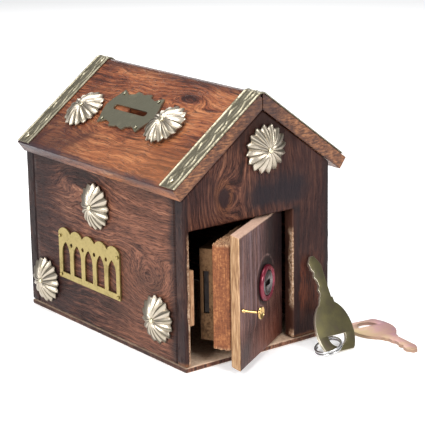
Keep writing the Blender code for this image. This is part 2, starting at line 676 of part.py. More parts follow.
# ---------------------------------------------------------------- door frame pieces
head_block = place("door_head_block",
                   box_mesh("door_head_block",
                            (HINGE_X - HEAD_BLOCK_REACH, FRONT_Y + GABLE_THICKNESS + GAP,
                             DOORWAY_TOP),
                            (-INNER_LEFT - GAP,
                             FRONT_Y + GABLE_THICKNESS + GAP + HEAD_BLOCK_DEPTH,
                             DOORWAY_TOP + HEAD_BLOCK_HEIGHT)), RAW_WOOD)
keeper_block = place("keeper_block",
                     box_mesh("keeper_block",
                              (INNER_LEFT + GAP, FRONT_Y + KEEPER_SETBACK, KEEPER_BOTTOM),
                              (INNER_LEFT + KEEPER_THICKNESS, KEEPER_BACK,
                               KEEPER_BOTTOM + KEEPER_HEIGHT)), RAW_WOOD)
soften(keeper_block)

# ---------------------------------------------------------------- door
door_hinge = bpy.data.objects.new("door_hinge", None)
parts.objects.link(door_hinge)
door_hinge.matrix_world = (Matrix.Translation((HINGE_X, HINGE_Y, 0))
                           @ Matrix.Rotation(DOOR_OPEN, 4, "Z"))

# Seen from above, the free edge is bevelled so that it clears the keeper.
door_outline = [(DOOR_FREE_X, -DOOR_INSIDE), (DOOR_HINGE_X, -DOOR_INSIDE),
                (DOOR_HINGE_X, DOOR_INSIDE), (DOOR_FREE_X + DOOR_EDGE_BEVEL, DOOR_INSIDE)]
door_board = place("door_board", flat_mesh("door_board", [door_outline],
                                           DOOR_TOP - DOOR_BOTTOM), BURNT_WOOD,
                   Matrix.Translation((0, 0, (DOOR_TOP + DOOR_BOTTOM) / 2)), door_hinge)
soften(door_board)

packing_left = DOOR_FREE_X + PACKING_SETBACK
packing_block = place("packing_block",
                      box_mesh("packing_block",
                               (packing_left, PACKING_FRONT,
                                CASE_MIDDLE - PACKING_HEIGHT / 2),
                               (packing_left + PACKING_WIDTH, PACKING_BACK,
                                CASE_MIDDLE + PACKING_HEIGHT / 2)), PACKING_WOOD,
                      parent=door_hinge)
soften(packing_block)


def door_cutter(name, mesh):
    return place(name, mesh, RAW_WOOD, parent=door_hinge)


barrel_back = PACKING_BACK - GAP
for cut_piece in (door_board, packing_block):
    combine(cut_piece, door_cutter(cut_piece.name + "_barrel_hole",
                                   rod_mesh("barrel_hole", BARREL_RADIUS + GAP,
                                            (LOCK_X, -0.02, LOCK_HEIGHT),
                                            (LOCK_X, 0.03, LOCK_HEIGHT), sides=32)))

# Hinge pins: a wire pin in the head block, and a nail up through the base.
pin_top = DOORWAY_TOP + HEAD_BLOCK_HEIGHT - 2 * GAP
place("hinge_pin_top", rod_mesh("hinge_pin_top", HINGE_PIN_RADIUS,
                                (HINGE_X, HINGE_Y, DOOR_TOP - HINGE_PIN_GRIP),
                                (HINGE_X, HINGE_Y, pin_top)), DARK_STEEL)
combine(head_block, place("head_block_hole",
                          rod_mesh("head_block_hole", HINGE_PIN_RADIUS + GAP,
                                   (HINGE_X, HINGE_Y, DOORWAY_TOP - 0.002),
                                   (HINGE_X, HINGE_Y, pin_top + GAP)), RAW_WOOD))
base_nail("hinge_pin_bottom", HINGE_X, HINGE_Y,
          DOOR_BOTTOM + HINGE_PIN_GRIP - NAIL_HEAD_HEIGHT - GAP, None,
          radius=HINGE_PIN_RADIUS, head=2 * HINGE_PIN_RADIUS)
for where, low, high in (("top", DOOR_TOP - HINGE_PIN_GRIP - 2 * GAP, DOOR_TOP + 0.002),
                         ("bottom", DOOR_BOTTOM - 0.002,
                          DOOR_BOTTOM + HINGE_PIN_GRIP + 2 * GAP)):
    combine(door_board, door_cutter("door_pin_hole_" + where,
                                    rod_mesh("door_pin_hole", HINGE_PIN_RADIUS + GAP,
                                             (0, 0, low), (0, 0, high))))

# Brass pull by the free edge: a thin stem with a small dished head.
pull_frame = axes((DOOR_FREE_X + PULL_FROM_EDGE, -DOOR_INSIDE, PULL_HEIGHT), (1, 0, 0),
                  (0, 0, 1))
stem, head = PULL_STEM_RADIUS, PULL_HEAD_RADIUS
pull_profile = [(0.0, PULL_LENGTH - 0.0009), (head * 0.35, PULL_LENGTH - 0.0008),
                (head * 0.7, PULL_LENGTH), (head, PULL_LENGTH - 0.0002),
                (head, PULL_LENGTH - 0.0008), (head * 0.5, PULL_LENGTH - 0.0016),
                (stem, PULL_LENGTH - 0.0022), (stem, 0.0014), (stem * 1.5, 0.0010),
                (stem * 1.5, GAP), (stem, GAP), (stem, -PULL_BITE), (0.0, -PULL_BITE)]
turned("door_pull", pull_profile, YELLOW_BRASS, pull_frame, door_hinge, sides=16)
combine(door_board, door_cutter("door_pull_hole",
                                rod_mesh("door_pull_hole", stem + GAP,
                                         pull_frame @ Vector((0, 0, -PULL_BITE - GAP)),
                                         pull_frame @ Vector((0, 0, 0.004)), sides=12)))

# ---------------------------------------------------------------- lock
lock_frame = axes((LOCK_X, 0, LOCK_HEIGHT), (1, 0, 0), (0, 0, 1))
collar_foot = DOOR_INSIDE + GAP
collar_face = DOOR_INSIDE + COLLAR_PROUD
bore = PLUG_RADIUS + GAP
cylinder_profile = [(bore, collar_face), (COLLAR_RADIUS - 0.0012, collar_face),
                    (COLLAR_RADIUS - 0.0003, collar_face - 0.0005),
                    (COLLAR_RADIUS, collar_face - 0.0012), (COLLAR_RADIUS, collar_foot),
                    (BARREL_RADIUS, collar_foot), (BARREL_RADIUS, -barrel_back),
                    (bore, -barrel_back), (bore, collar_face)]
turned("lock_cylinder", cylinder_profile, CRIMSON, lock_frame, door_hinge)

plug_axis = bpy.data.objects.new("plug_axis", None)
parts.objects.link(plug_axis)
plug_axis.parent = door_hinge
plug_axis.matrix_basis = lock_frame
plug_face = collar_face - 0.0002
plug_tail = -(CAM_FRONT - GAP)
plug_profile = [(0.0, plug_face), (PLUG_RADIUS - 0.0004, plug_face),
                (PLUG_RADIUS, plug_face - 0.0004), (PLUG_RADIUS, plug_tail),
                (0.0, plug_tail)]
lock_plug = turned("lock_plug", plug_profile, BRIGHT_STEEL, Matrix.Identity(4), plug_axis,
                   sides=24)
combine(lock_plug, place("keyway",
                         box_mesh("keyway",
                                  (-KEYWAY_WIDTH / 2, -KEYWAY_HEIGHT / 2,
                                   plug_face - KEYWAY_DEPTH),
                                  (KEYWAY_WIDTH / 2, KEYWAY_HEIGHT / 2, plug_face + 0.002)),
                         DARK_STEEL, parent=plug_axis))

# The cam's pin stands in the bolt's notch and draws the bolt across.
pin_x = pin_y = CRANK_RADIUS * math.sin(math.pi / 4)
cam_radius = CRANK_RADIUS + CAM_PIN_RADIUS + 0.0004
lock_cam = place("lock_cam", rod_mesh("lock_cam", cam_radius, (0, 0, -CAM_FRONT),
                                      (0, 0, -CAM_FRONT - CAM_THICKNESS), sides=24),
                 BRIGHT_STEEL, parent=plug_axis)
combine(lock_cam, place("cam_pin", rod_mesh("cam_pin", CAM_PIN_RADIUS,
                                            (pin_x, pin_y, -CAM_FRONT - CAM_THICKNESS / 2),
                                            (pin_x, pin_y, -BOLT_BACK + GAP), sides=12),
                        BRIGHT_STEEL, parent=plug_axis), "UNION")

bolt_tip = CASE_LEFT + BOLT_HIDDEN
bolt_low = LOCK_HEIGHT + BOLT_LIFT - BOLT_HEIGHT / 2
bolt_high = bolt_low + BOLT_HEIGHT
lock_bolt = place("lock_bolt", box_mesh("lock_bolt", (bolt_tip, BOLT_FRONT, bolt_low),
                                        (LOCK_X + BOLT_TAIL, BOLT_BACK, bolt_high)),
                  DARK_STEEL, parent=door_hinge)
notch_half = CAM_PIN_RADIUS + CAM_PIN_PLAY
combine(lock_bolt, door_cutter("bolt_notch",
                               box_mesh("bolt_notch",
                                        (LOCK_X + pin_x - notch_half, BOLT_FRONT - 0.002,
                                         LOCK_HEIGHT + pin_y - notch_half),
                                        (LOCK_X + pin_x + notch_half, BOLT_BACK + 0.002,
                                         bolt_high + 0.002))))

lock_case = place("lock_case", box_mesh("lock_case", (CASE_LEFT, CASE_FRONT, CASE_BOTTOM),
                                        (CASE_RIGHT, CASE_BACK, CASE_TOP)), LOCK_SHEET,
                  parent=door_hinge)
soften(lock_case, 0.0003)
combine(lock_case, door_cutter("case_hollow",
                               box_mesh("case_hollow",
                                        (CASE_LEFT + CASE_SHEET, CASE_FRONT - 0.002,
                                         CASE_BOTTOM + CASE_SHEET),
                                        (CASE_RIGHT - CASE_SHEET, CASE_BACK - CASE_SHEET,
                                         CASE_TOP - CASE_SHEET))))
combine(lock_case, door_cutter("bolt_mouth",
                               box_mesh("bolt_mouth",
                                        (CASE_LEFT - 0.002, BOLT_FRONT - GAP,
                                         bolt_low - GAP),
                                        (CASE_LEFT + CASE_SHEET + 0.001, BOLT_BACK + GAP,
                                         bolt_high + GAP))))
inset = CASE_SHEET + GAP
lock_cover = place("lock_cover", box_mesh("lock_cover",
                                          (CASE_LEFT + inset, CASE_FRONT, CASE_BOTTOM + inset),
                                          (CASE_RIGHT - inset, COVER_BACK,
                                           CASE_TOP - inset)), LOCK_SHEET, parent=door_hinge)
combine(lock_cover, door_cutter("cover_plug_hole",
                                rod_mesh("cover_plug_hole", PLUG_RADIUS + GAP,
                                         (LOCK_X, CASE_FRONT - 0.002, LOCK_HEIGHT),
                                         (LOCK_X, COVER_BACK + 0.002, LOCK_HEIGHT),
                                         sides=24)))

screw_frames = []
for screw_x in (CASE_LEFT + CASE_SCREW_INSET, CASE_RIGHT - CASE_SCREW_INSET):
    for screw_z in (CASE_BOTTOM + CASE_SCREW_INSET, CASE_TOP - CASE_SCREW_INSET):
        screw_frames.append(axes((screw_x, CASE_BACK + GAP, screw_z), (-1, 0, 0), (0, 0, 1)))
screw_bite = CASE_DEPTH + 2 * GAP + CASE_SCREW_BITE
for number, frame in enumerate(screw_frames, 1):
    nail(f"lock_screw_{number}", frame, screw_bite, BRIGHT_STEEL, head=CASE_SCREW_HEAD,
         rise=0.0010, radius=CASE_SCREW_RADIUS, parent=door_hinge)
for cut_piece in (lock_case, lock_cover, packing_block):
    screw_holes = nail_holes(cut_piece.name + "_screw_holes", screw_frames, screw_bite,
                             CASE_SCREW_RADIUS)
    screw_holes.parent = door_hinge
    combine(cut_piece, screw_holes)


# ---------------------------------------------------------------- keys and ring
def bow_half_width(along):
    """Half the bow's width: part of an ellipse, cut square across the foot."""
    centre, half_length = 0.0103, 0.0152
    return KEY_BOW_HALF * math.sqrt(1 - ((along - centre) / half_length) ** 2)


def key_mesh(name):
    """A flat key: bow with a half-moon hole, shoulder, and a blade cut on one edge."""
    bow_steps = 8
    right = [(bow_half_width(KEY_BOW_LENGTH * step / bow_steps),
              KEY_BOW_LENGTH * step / bow_steps) for step in range(bow_steps + 1)]
    shoulder = KEY_BOW_LENGTH + 0.0028
    blade_right = [(KEY_BLADE_HALF + 0.0010, KEY_BOW_LENGTH + 0.0002),
                   (KEY_BLADE_HALF + 0.0008, shoulder), (KEY_BLADE_HALF, shoulder),
                   (KEY_BLADE_HALF - 0.0002, KEY_LENGTH - 0.0048),
                   (0.0006, KEY_LENGTH), (-0.0016, KEY_LENGTH)]
    tooth_depths = [0.0000, 0.0004, 0.0015, 0.0008, 0.0019, 0.0022, 0.0012, 0.0014, 0.0002]
    tooth_run = KEY_LENGTH - 0.0035 - shoulder
    blade_left = []
    for step, depth in enumerate(tooth_depths):
        along = KEY_LENGTH - 0.0035 - tooth_run * step / (len(tooth_depths) - 1)
        blade_left.append((-KEY_BLADE_HALF + depth, along))
    left = [(-x, y) for x, y in reversed(right)]
    half_moon = [(0.0056, 0.0082)] + arc((0, 0.0078), 0.0054, 0, -180, 8) + [(-0.0056, 0.0082)]
    outline = right[1:] + blade_right + blade_left + left[:-1]
    foot = [(-KEY_FOOT_HALF, 0.0), (KEY_FOOT_HALF, 0.0)]
    return flat_mesh(name, [foot + outline, half_moon], KEY_THICKNESS)


key_stand_y = (FRONT_Y - GAP - KEY_LENGTH * math.sin(KEY_LEAN)
               - KEY_THICKNESS / 2 * math.cos(KEY_LEAN))
key_stand_z = (KEY_THICKNESS / 2 * math.sin(KEY_LEAN)
               + KEY_FOOT_HALF * math.sin(KEY_STAND_TILT) * math.cos(KEY_LEAN))
standing_frame = axes((KEY_STAND_X, key_stand_y, key_stand_z), (1, 0, 0),
                      (0, math.sin(KEY_LEAN), math.cos(KEY_LEAN)))
standing_frame = standing_frame @ Matrix.Rotation(-KEY_STAND_TILT, 4, "Z")
place("key_standing", key_mesh("key_standing"), OLIVE_PLATING, standing_frame)
lying_frame = (Matrix.Translation((*KEY_LYING_AT, KEY_THICKNESS / 2))
               @ Matrix.Rotation(KEY_LYING_TURN, 4, "Z") @ Matrix.Rotation(math.pi, 4, "Y"))
place("key_lying", key_mesh("key_lying"), ROSY_PLATING, lying_frame)

# Split ring: nearly two turns of wire, through the standing key's hole.
ring_pitch = 2 * RING_WIRE + GAP
ring_lift = (RING_RADIUS * math.sin(RING_TILT) + ring_pitch * math.cos(RING_TILT)
             + RING_WIRE + GAP)
ring_frame = axes((KEY_STAND_X - RING_LEFT_OF_KEY, key_stand_y + 0.0022, ring_lift),
                  (math.cos(RING_TILT), 0, math.sin(RING_TILT)), (0, 1, 0))
wire = bpy.data.curves.new("key_ring", "CURVE")
wire.dimensions = "3D"
wire.bevel_depth = RING_WIRE
wire.bevel_resolution = 2
wire.use_fill_caps = True
coil = wire.splines.new("POLY")
ring_points = 44
coil.points.add(ring_points - 1)
for index, point in enumerate(coil.points):
    part_way = index / (ring_points - 1)
    angle = 2 * math.pi * RING_TURNS * part_way + math.pi * 0.6
    point.co = (RING_RADIUS * math.cos(angle), RING_RADIUS * math.sin(angle),
                ring_pitch * RING_TURNS * (part_way - 0.5), 1)
key_ring = bpy.data.objects.new("key_ring", wire)
parts.objects.link(key_ring)
wire.materials.append(finish("key_ring_finish", *BRIGHT_STEEL))
key_ring.matrix_basis = ring_frame
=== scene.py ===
"""Hut-shaped wooden money box: the looks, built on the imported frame. Units are metres."""

import math

import bmesh
import bpy
from mathutils import Matrix, Vector, noise


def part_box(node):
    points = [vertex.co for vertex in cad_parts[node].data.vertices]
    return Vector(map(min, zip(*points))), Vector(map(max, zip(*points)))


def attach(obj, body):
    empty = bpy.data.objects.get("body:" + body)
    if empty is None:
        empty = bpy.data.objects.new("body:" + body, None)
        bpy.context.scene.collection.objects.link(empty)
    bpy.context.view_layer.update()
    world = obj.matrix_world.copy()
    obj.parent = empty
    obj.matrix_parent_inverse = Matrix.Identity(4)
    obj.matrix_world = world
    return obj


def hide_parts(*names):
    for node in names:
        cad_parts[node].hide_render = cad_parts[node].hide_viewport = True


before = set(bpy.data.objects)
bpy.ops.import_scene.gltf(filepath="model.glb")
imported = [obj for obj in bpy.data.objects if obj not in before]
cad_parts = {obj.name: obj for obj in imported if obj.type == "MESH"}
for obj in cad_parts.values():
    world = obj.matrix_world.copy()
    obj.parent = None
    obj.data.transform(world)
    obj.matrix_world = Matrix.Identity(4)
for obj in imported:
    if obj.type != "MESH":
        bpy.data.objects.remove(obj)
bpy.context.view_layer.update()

# ---------------------------------------------------------------- table and light
# A pale table top under a large soft box on the left, a smaller one in front and a
# weak light from behind, as small goods are lit on a bench.
table = bpy.data.meshes.new("table_top")
table.from_pydata([(-3, -3, 0), (3, -3, 0), (3, 3, 0), (-3, 3, 0)], [], [(0, 1, 2, 3)])
table_top = bpy.data.objects.new("table_top", table)
bpy.context.scene.collection.objects.link(table_top)
table_top.location.z = -0.0002
pale = bpy.data.materials.new("pale_table")
pale.use_nodes = True
pale.node_tree.nodes["Principled BSDF"].inputs["Base Color"].default_value = (0.93, 0.93, 0.93, 1)
pale.node_tree.nodes["Principled BSDF"].inputs["Roughness"].default_value = 0.9
pale.node_tree.nodes["Principled BSDF"].inputs["Specular IOR Level"].default_value = 0.1
pale.node_tree.nodes["Principled BSDF"].inputs["Emission Color"].default_value = (1, 1, 1, 1)
pale.node_tree.nodes["Principled BSDF"].inputs["Emission Strength"].default_value = 0.30
table.materials.append(pale)

air = bpy.data.worlds.new("studio_air")
air.use_nodes = True
air.node_tree.nodes["Background"].inputs["Color"].default_value = (0.97, 0.98, 1.0, 1)
air.node_tree.nodes["Background"].inputs["Strength"].default_value = 0.34
bpy.context.scene.world = air

for name, place, aim, size, power in (
        ("soft_box_left", (-0.95, -0.25, 0.55), (0.0, 0.0, 0.05), 0.50, 10.0),
        ("soft_box_front", (-0.05, -1.10, 0.60), (0.0, 0.0, 0.04), 0.40, 8.0),
        ("soft_box_top", (-0.1, -0.1, 1.15), (0.0, 0.0, 0.0), 0.6, 9.0),
        ("back_light", (0.6, 0.8, 0.5), (0.0, 0.0, 0.05), 0.4, 2.0)):
    lamp = bpy.data.lights.new(name, "AREA")
    lamp.shape = "SQUARE"
    lamp.size = size
    lamp.energy = power
    holder = bpy.data.objects.new(name, lamp)
    bpy.context.scene.collection.objects.link(holder)
    holder.location = place
    holder.rotation_euler = (Vector(aim) - Vector(place)).to_track_quat("-Z", "Y").to_euler()

# ---------------------------------------------------------------- camera
# Seen from the front left, a little above, through a long lens.
lens = bpy.data.cameras.new("camera")
lens.sensor_width = 36.0
lens.lens = 139.0
lens.clip_start = 0.01
camera = bpy.data.objects.new("camera", lens)
bpy.context.scene.collection.objects.link(camera)
camera.matrix_world = (Matrix.Translation((-0.46672, -0.6481, 0.27377))
                       @ Matrix.Rotation(math.radians(-37.16), 4, "Z")
                       @ Matrix.Rotation(math.radians(90 - 15.28), 4, "X")
                       @ Matrix.Rotation(math.radians(-0.9), 4, "Z"))
bpy.context.scene.camera = camera
bpy.context.scene.view_settings.view_transform = "Standard"

# ---------------------------------------------------------------- walls
# Base and four walls of sheesham: thin sawn boards, stained, scorched along their
# edges with a torch and varnished. The gables stand in front of the side walls' ends.
FRONT, BACK, SIDE = -0.06815, 0.06815, 0.0440
GABLE, WALL, FLOOR = 0.0068, 0.0032, 0.0024
WALL_FOOT, WALL_END = 0.0027, 0.06105
JAMB, LINTEL = 0.0212, 0.0680
PITCH = math.radians(36.8)
ROOF_MIDDLE, RIDGE = 0.0030, 0.1272
ROOF_BOARD = 0.0066


class Wire:
    """One socket of a finish. Sums on it add Math nodes, and add() places any other node."""

    def __init__(self, tree, socket=None):
        self.tree = tree
        self.socket = socket

    def add(self, kind, settings, sockets, out=0):
        node = self.tree.nodes.new("ShaderNode" + kind)
        for name, value in settings.items():
            if name == "stops":
                node.color_ramp.elements[0].position = value[0][0]
                node.color_ramp.elements[0].color = (*value[0][1], 1)
                node.color_ramp.elements[1].position = value[-1][0]
                node.color_ramp.elements[1].color = (*value[-1][1], 1)
                for place, colour in value[1:-1]:
                    node.color_ramp.elements.new(place).color = (*colour, 1)
            else:
                setattr(node, name, value)
        for name, value in sockets.items():
            if isinstance(value, Wire):
                self.tree.links.new(value.socket, node.inputs[name])
            elif isinstance(value, tuple) and len(value) == 3 and node.inputs[name].type == "RGBA":
                node.inputs[name].default_value = (*value, 1)
            else:
                node.inputs[name].default_value = value
        return Wire(self.tree, node.outputs[out])

    def maths(self, operation, first, second=0.0):
        return self.add("Math", {"operation": operation}, {0: first, 1: second})

    def __add__(self, other):
        return self.maths("ADD", self, other)

    def __radd__(self, other):
        return self.maths("ADD", other, self)

    def __sub__(self, other):
        return self.maths("SUBTRACT", self, other)

    def __rsub__(self, other):
        return self.maths("SUBTRACT", other, self)

    def __mul__(self, other):
        return self.maths("MULTIPLY", self, other)

    def __rmul__(self, other):
        return self.maths("MULTIPLY", other, self)

    def __truediv__(self, other):
        return self.maths("DIVIDE", self, other)

    def __neg__(self):
        return self.maths("MULTIPLY", self, -1.0)

    def __abs__(self):
        return self.maths("ABSOLUTE", self)

    def rise(self, low, high):
        """0 below low, 1 above high, smooth between; low may be above high."""
        return self.add("MapRange", {"interpolation_type": "SMOOTHSTEP"},
                        {"Value": self, "From Min": low, "From Max": high})

    def ramp(self, *stops):
        return self.add("ValToRGB", {"stops": stops}, {0: self})

    def mix(self, other, factor, how="MIX"):
        return self.add("Mix", {"data_type": "RGBA", "blend_type": how},
                        {0: factor, 6: self, 7: other}, 2)

    def noise(self, x, y, z, detail=3.0, rough=0.55):
        """Cloudy noise over a place given by three wires."""
        spot = self.add("CombineXYZ", {}, {0: x, 1: y, 2: z})
        return self.add("TexNoise", {}, {"Vector": spot, "Scale": 1.0, "Detail": detail,
                                         "Roughness": rough})


class Finish:
    """A finish on its way: the shader, and the place on the piece in millimetres."""

    def __init__(self, name):
        self.material = bpy.data.materials.new(name)
        self.material.use_nodes = True
        self.tree = self.material.node_tree
        self.shader = self.tree.nodes["Principled BSDF"]
        spot = Wire(self.tree).add("TexCoord", {}, {}, "Object")
        self.x, self.y, self.z = (spot.add("SeparateXYZ", {}, {0: spot}, axis) * 1000.0
                                  for axis in "XYZ")

    def cloud(self, scale, detail=3.0, rough=0.55, shift=0.0):
        """Even noise; scale is in millimetres a cloud."""
        return self.x.noise(self.x / scale + shift, self.y / scale, self.z / scale, detail, rough)

    def close(self, colour, rough, bump, depth=0.0002, metallic=0.0, coat=0.0, shine=0.5):
        """Connect what varies, and set what doesn't."""
        self.shader.inputs["Specular IOR Level"].default_value = shine
        for socket, value in (("Base Color", colour), ("Roughness", rough),
                              ("Metallic", metallic), ("Coat Weight", coat)):
            if isinstance(value, Wire):
                self.tree.links.new(value.socket, self.shader.inputs[socket])
            else:
                self.shader.inputs[socket].default_value = value
        relief = bump.add("Bump", {}, {"Height": bump, "Distance": depth, "Strength": 1.0})
        self.tree.links.new(relief.socket, self.shader.inputs["Normal"])
        return self.material


SHEESHAM = ((0.0, (0.013, 0.005, 0.004)), (0.30, (0.046, 0.017, 0.012)),
            (0.55, (0.112, 0.043, 0.027)), (0.80, (0.205, 0.084, 0.048)),
            (1.0, (0.330, 0.160, 0.095)))


def sheesham(finish, along, across, through, stops=SHEESHAM, knots=(), seed=0.0, ring=3.0,
             light=0.0, swirl=13.0):
    """Colour and relief of figured wood. along runs with the grain; knots bend the rings."""
    sway = finish.x.noise(along / 46.0 + seed, across / 26.0, through / 30.0, 2.0)
    field = across + (sway - 0.5) * swirl
    core = None
    for centre_along, centre_across, length, width, strength in knots:
        far = ((along - centre_along) / length * ((along - centre_along) / length)
               + (across - centre_across) / width * ((across - centre_across) / width))
        swell = finish.x.maths("EXPONENT", -far)
        field = field + swell * strength
        core = swell if core is None else core + swell
    ripple = finish.x.noise(along / 12.0 + seed, across / 3.0, through / 4.0, 2.0)
    rings = finish.x.maths("SINE", (field + ripple * 2.6) / ring * 6.2832) * 0.5 + 0.5
    figure = finish.x.noise(along / 60.0, field / 3.0, through / 20.0 + seed, 5.0, 0.65)
    fibre = finish.x.noise(along / 9.0, field / 0.45, across / 1.6 + seed, 3.0, 0.7)
    pore = finish.x.noise(along / 4.5, field / 0.33, through / 0.9 + seed, 1.0).rise(0.57, 0.68)
    patch = finish.cloud(34.0, 3.0, 0.5, seed + 4.0)
    tone = (figure * 0.45 + rings * 0.07 + fibre * 0.56 + patch * 0.44 - 0.37 + light)
    if core is not None:
        tone = tone - core.rise(0.55, 0.98) * 0.16
    tone = (tone - 0.40) * 2.9 + 0.42
    colour = tone.ramp(*stops)
    streak = finish.x.noise(along / 26.0, field / 1.1, through / 4.0 + seed, 3.0, 0.6)
    colour = colour.mix((0.012, 0.004, 0.003), streak.rise(0.53, 0.68) * 0.50)
    colour = colour.mix((0.008, 0.003, 0.003), pore * 0.70)
    relief = fibre * 0.7 - pore * 0.8
    return colour, relief, fibre, pore


def varnish(finish, colour, relief, fibre, pore, rough):
    """Thin, worn varnish: duller in the pores, a little smoother on the fibres."""
    return finish.close(colour, rough - fibre * 0.14 + pore * 0.2, relief, 0.00012, coat=0.03,
                        shine=0.10)


def scorch_and_painted_shade(colour, mask, tint=(0.012, 0.008, 0.009)):
    """Darken a colour towards a bluish black: used for scorch marks, and on the door also for
    painted shade.
    """
    return colour.mix(tint, mask)


def made(name, bm, crease, place):
    """A drawn shape as a smooth piece, sharp where it turns by more than crease degrees."""
    mesh = bpy.data.meshes.new(name)
    bm.to_mesh(mesh)
    bm.free()
    mesh.shade_smooth()
    mesh.set_sharp_from_angle(angle=math.radians(crease))
    piece = bpy.data.objects.new(name, mesh)
    bpy.context.scene.collection.objects.link(piece)
    piece.matrix_world = place
    return piece


def sawn_board(name, outline, low, high, frame_in, step=0.0030, round_off=0.0007,
               worn=0.00025, seed=0.0):
    """A board drawn in its own x and z, running from low to high in y, with worn arrises."""
    bm = bmesh.new()
    front = [bm.verts.new((x, low, z)) for x, z in outline]
    back = [bm.verts.new((x, high, z)) for x, z in outline]
    bm.faces.new(front)
    bm.faces.new(back[::-1])
    count = len(outline)
    for index in range(count):
        following = (index + 1) % count
        bm.faces.new((front[following], front[index], back[index], back[following]))
    bmesh.ops.recalc_face_normals(bm, faces=bm.faces)
    arrises = [edge for edge in bm.edges if edge.calc_face_angle(0) > 0.35]
    bmesh.ops.bevel(bm, geom=arrises, offset=round_off, segments=3, profile=0.55,
                    affect="EDGES", clamp_overlap=True)
    lows = [min(v.co[axis] for v in bm.verts) for axis in range(3)]
    highs = [max(v.co[axis] for v in bm.verts) for axis in range(3)]
    for axis in range(3):
        cuts = int((highs[axis] - lows[axis]) / step)
        for cut in range(1, cuts):
            point, normal = Vector((0, 0, 0)), Vector((0, 0, 0))
            point[axis] = lows[axis] + (highs[axis] - lows[axis]) * cut / cuts
            normal[axis] = 1
            bmesh.ops.bisect_plane(bm, geom=bm.verts[:] + bm.edges[:] + bm.faces[:],
                                   dist=0.000001, plane_co=point, plane_no=normal)
    bm.normal_update()
    for vertex in bm.verts:
        spot = vertex.co * 160 + Vector((seed, 2 * seed, 0))
        dent = max(0.0, 0.5 + 0.5 * noise.fractal(spot, 1.0, 2.0, 3)) * worn
        bend = sum(1 for face in vertex.link_faces
                   if face.normal.dot(vertex.normal) < 0.97) / max(1, len(vertex.link_faces))
        vertex.co -= vertex.normal * dent * (0.25 + 1.6 * bend)
    return made(name, bm, 38, frame_in)


def dress(piece, node, body, material):
    """Give a piece its finish, and let it stand for its CAD node."""
    piece.data.materials.clear()
    piece.data.materials.append(material)
    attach(piece, body)
    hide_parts(*([node] if isinstance(node, str) else node))
    return piece


def paint_nodes(material, *nodes):
    """Give CAD nodes that are kept as they are their finish."""
    for node in nodes:
        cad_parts[node].data.materials.clear()
        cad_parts[node].data.materials.append(material)


def under_roof(x):
    """Height just under the roof boards."""
    return (RIDGE - (ROOF_BOARD + 0.0003) / math.cos(PITCH)
            - math.tan(PITCH) * abs(x - ROOF_MIDDLE))


upright = Matrix.Identity(4)

# The left wall: swirling grain runs lengthwise, with a knot low down near the front.
paint = Finish("left_wall_sheesham")
colour, relief, fibre, pore = sheesham(
    paint, paint.y, paint.z, paint.x,
    knots=((-40.0, 38.0, 20.0, 12.0, 17.0), (18.0, 78.0, 26.0, 9.0, -9.0)), seed=1.7)
fray = paint.cloud(9.0, 4.0) - 0.5
warm = paint.y.rise(10.0, -30.0) * fibre.rise(0.30, 0.60)
colour = colour.mix((0.290, 0.120, 0.070), warm * 0.30)
rear = (paint.y + fray * 18.0).rise(8.0, 46.0)
colour = scorch_and_painted_shade(colour, rear * 0.40, (0.026, 0.012, 0.012))
front_edge = (paint.y + fray * 7.0).rise(-54.0, -61.0)
top_edge = (paint.z + fray * 8.0).rise(77.0, 84.0)
rear_edge = (paint.y + fray * 16.0).rise(50.0, 62.0)
rear_streak = paint.x.noise(paint.y / 5.0, paint.z / 60.0, 0.3, 3.0).rise(0.52, 0.68) \
    * paint.y.rise(20.0, 50.0)
colour = scorch_and_painted_shade(colour, rear_streak * 0.60, (0.024, 0.013, 0.013))
colour = scorch_and_painted_shade(colour, front_edge * 0.82)
colour = scorch_and_painted_shade(colour, top_edge * 0.55, (0.022, 0.012, 0.010))
colour = scorch_and_painted_shade(colour, rear_edge * 0.40, (0.030, 0.013, 0.010))
left_finish = varnish(paint, colour, relief, fibre, pore, 0.52)
left_wall = sawn_board("left_wall_board",
                       [(-SIDE, WALL_FOOT), (-SIDE + WALL, WALL_FOOT),
                        (-SIDE + WALL, under_roof(-SIDE + WALL)), (-SIDE, under_roof(-SIDE))],
                       -WALL_END, WALL_END, upright, seed=3.0)
dress(left_wall, "left_wall", "box", left_finish)

# The right wall is its plainer twin.
paint = Finish("right_wall_sheesham")
colour, relief, fibre, pore = sheesham(
    paint, paint.y, paint.z, paint.x, knots=((22.0, 52.0, 20.0, 10.0, 26.0),), seed=9.3)
fray = paint.cloud(9.0, 4.0, 0.55, 3.0) - 0.5
ends = abs(paint.y) + fray * 12.0
colour = scorch_and_painted_shade(colour, ends.rise(52.0, 62.0) * 0.7)
colour = scorch_and_painted_shade(colour, (paint.z + fray * 6.0).rise(79.0, 87.0) * 0.5, (0.022, 0.012, 0.010))
right_finish = varnish(paint, colour, relief, fibre, pore, 0.52)
right_wall = sawn_board("right_wall_board",
                        [(SIDE - WALL, WALL_FOOT), (SIDE, WALL_FOOT),
                         (SIDE, under_roof(SIDE)), (SIDE - WALL, under_roof(SIDE - WALL))],
                        -WALL_END, WALL_END, upright, seed=5.0)
dress(right_wall, "right_wall", "box", right_finish)

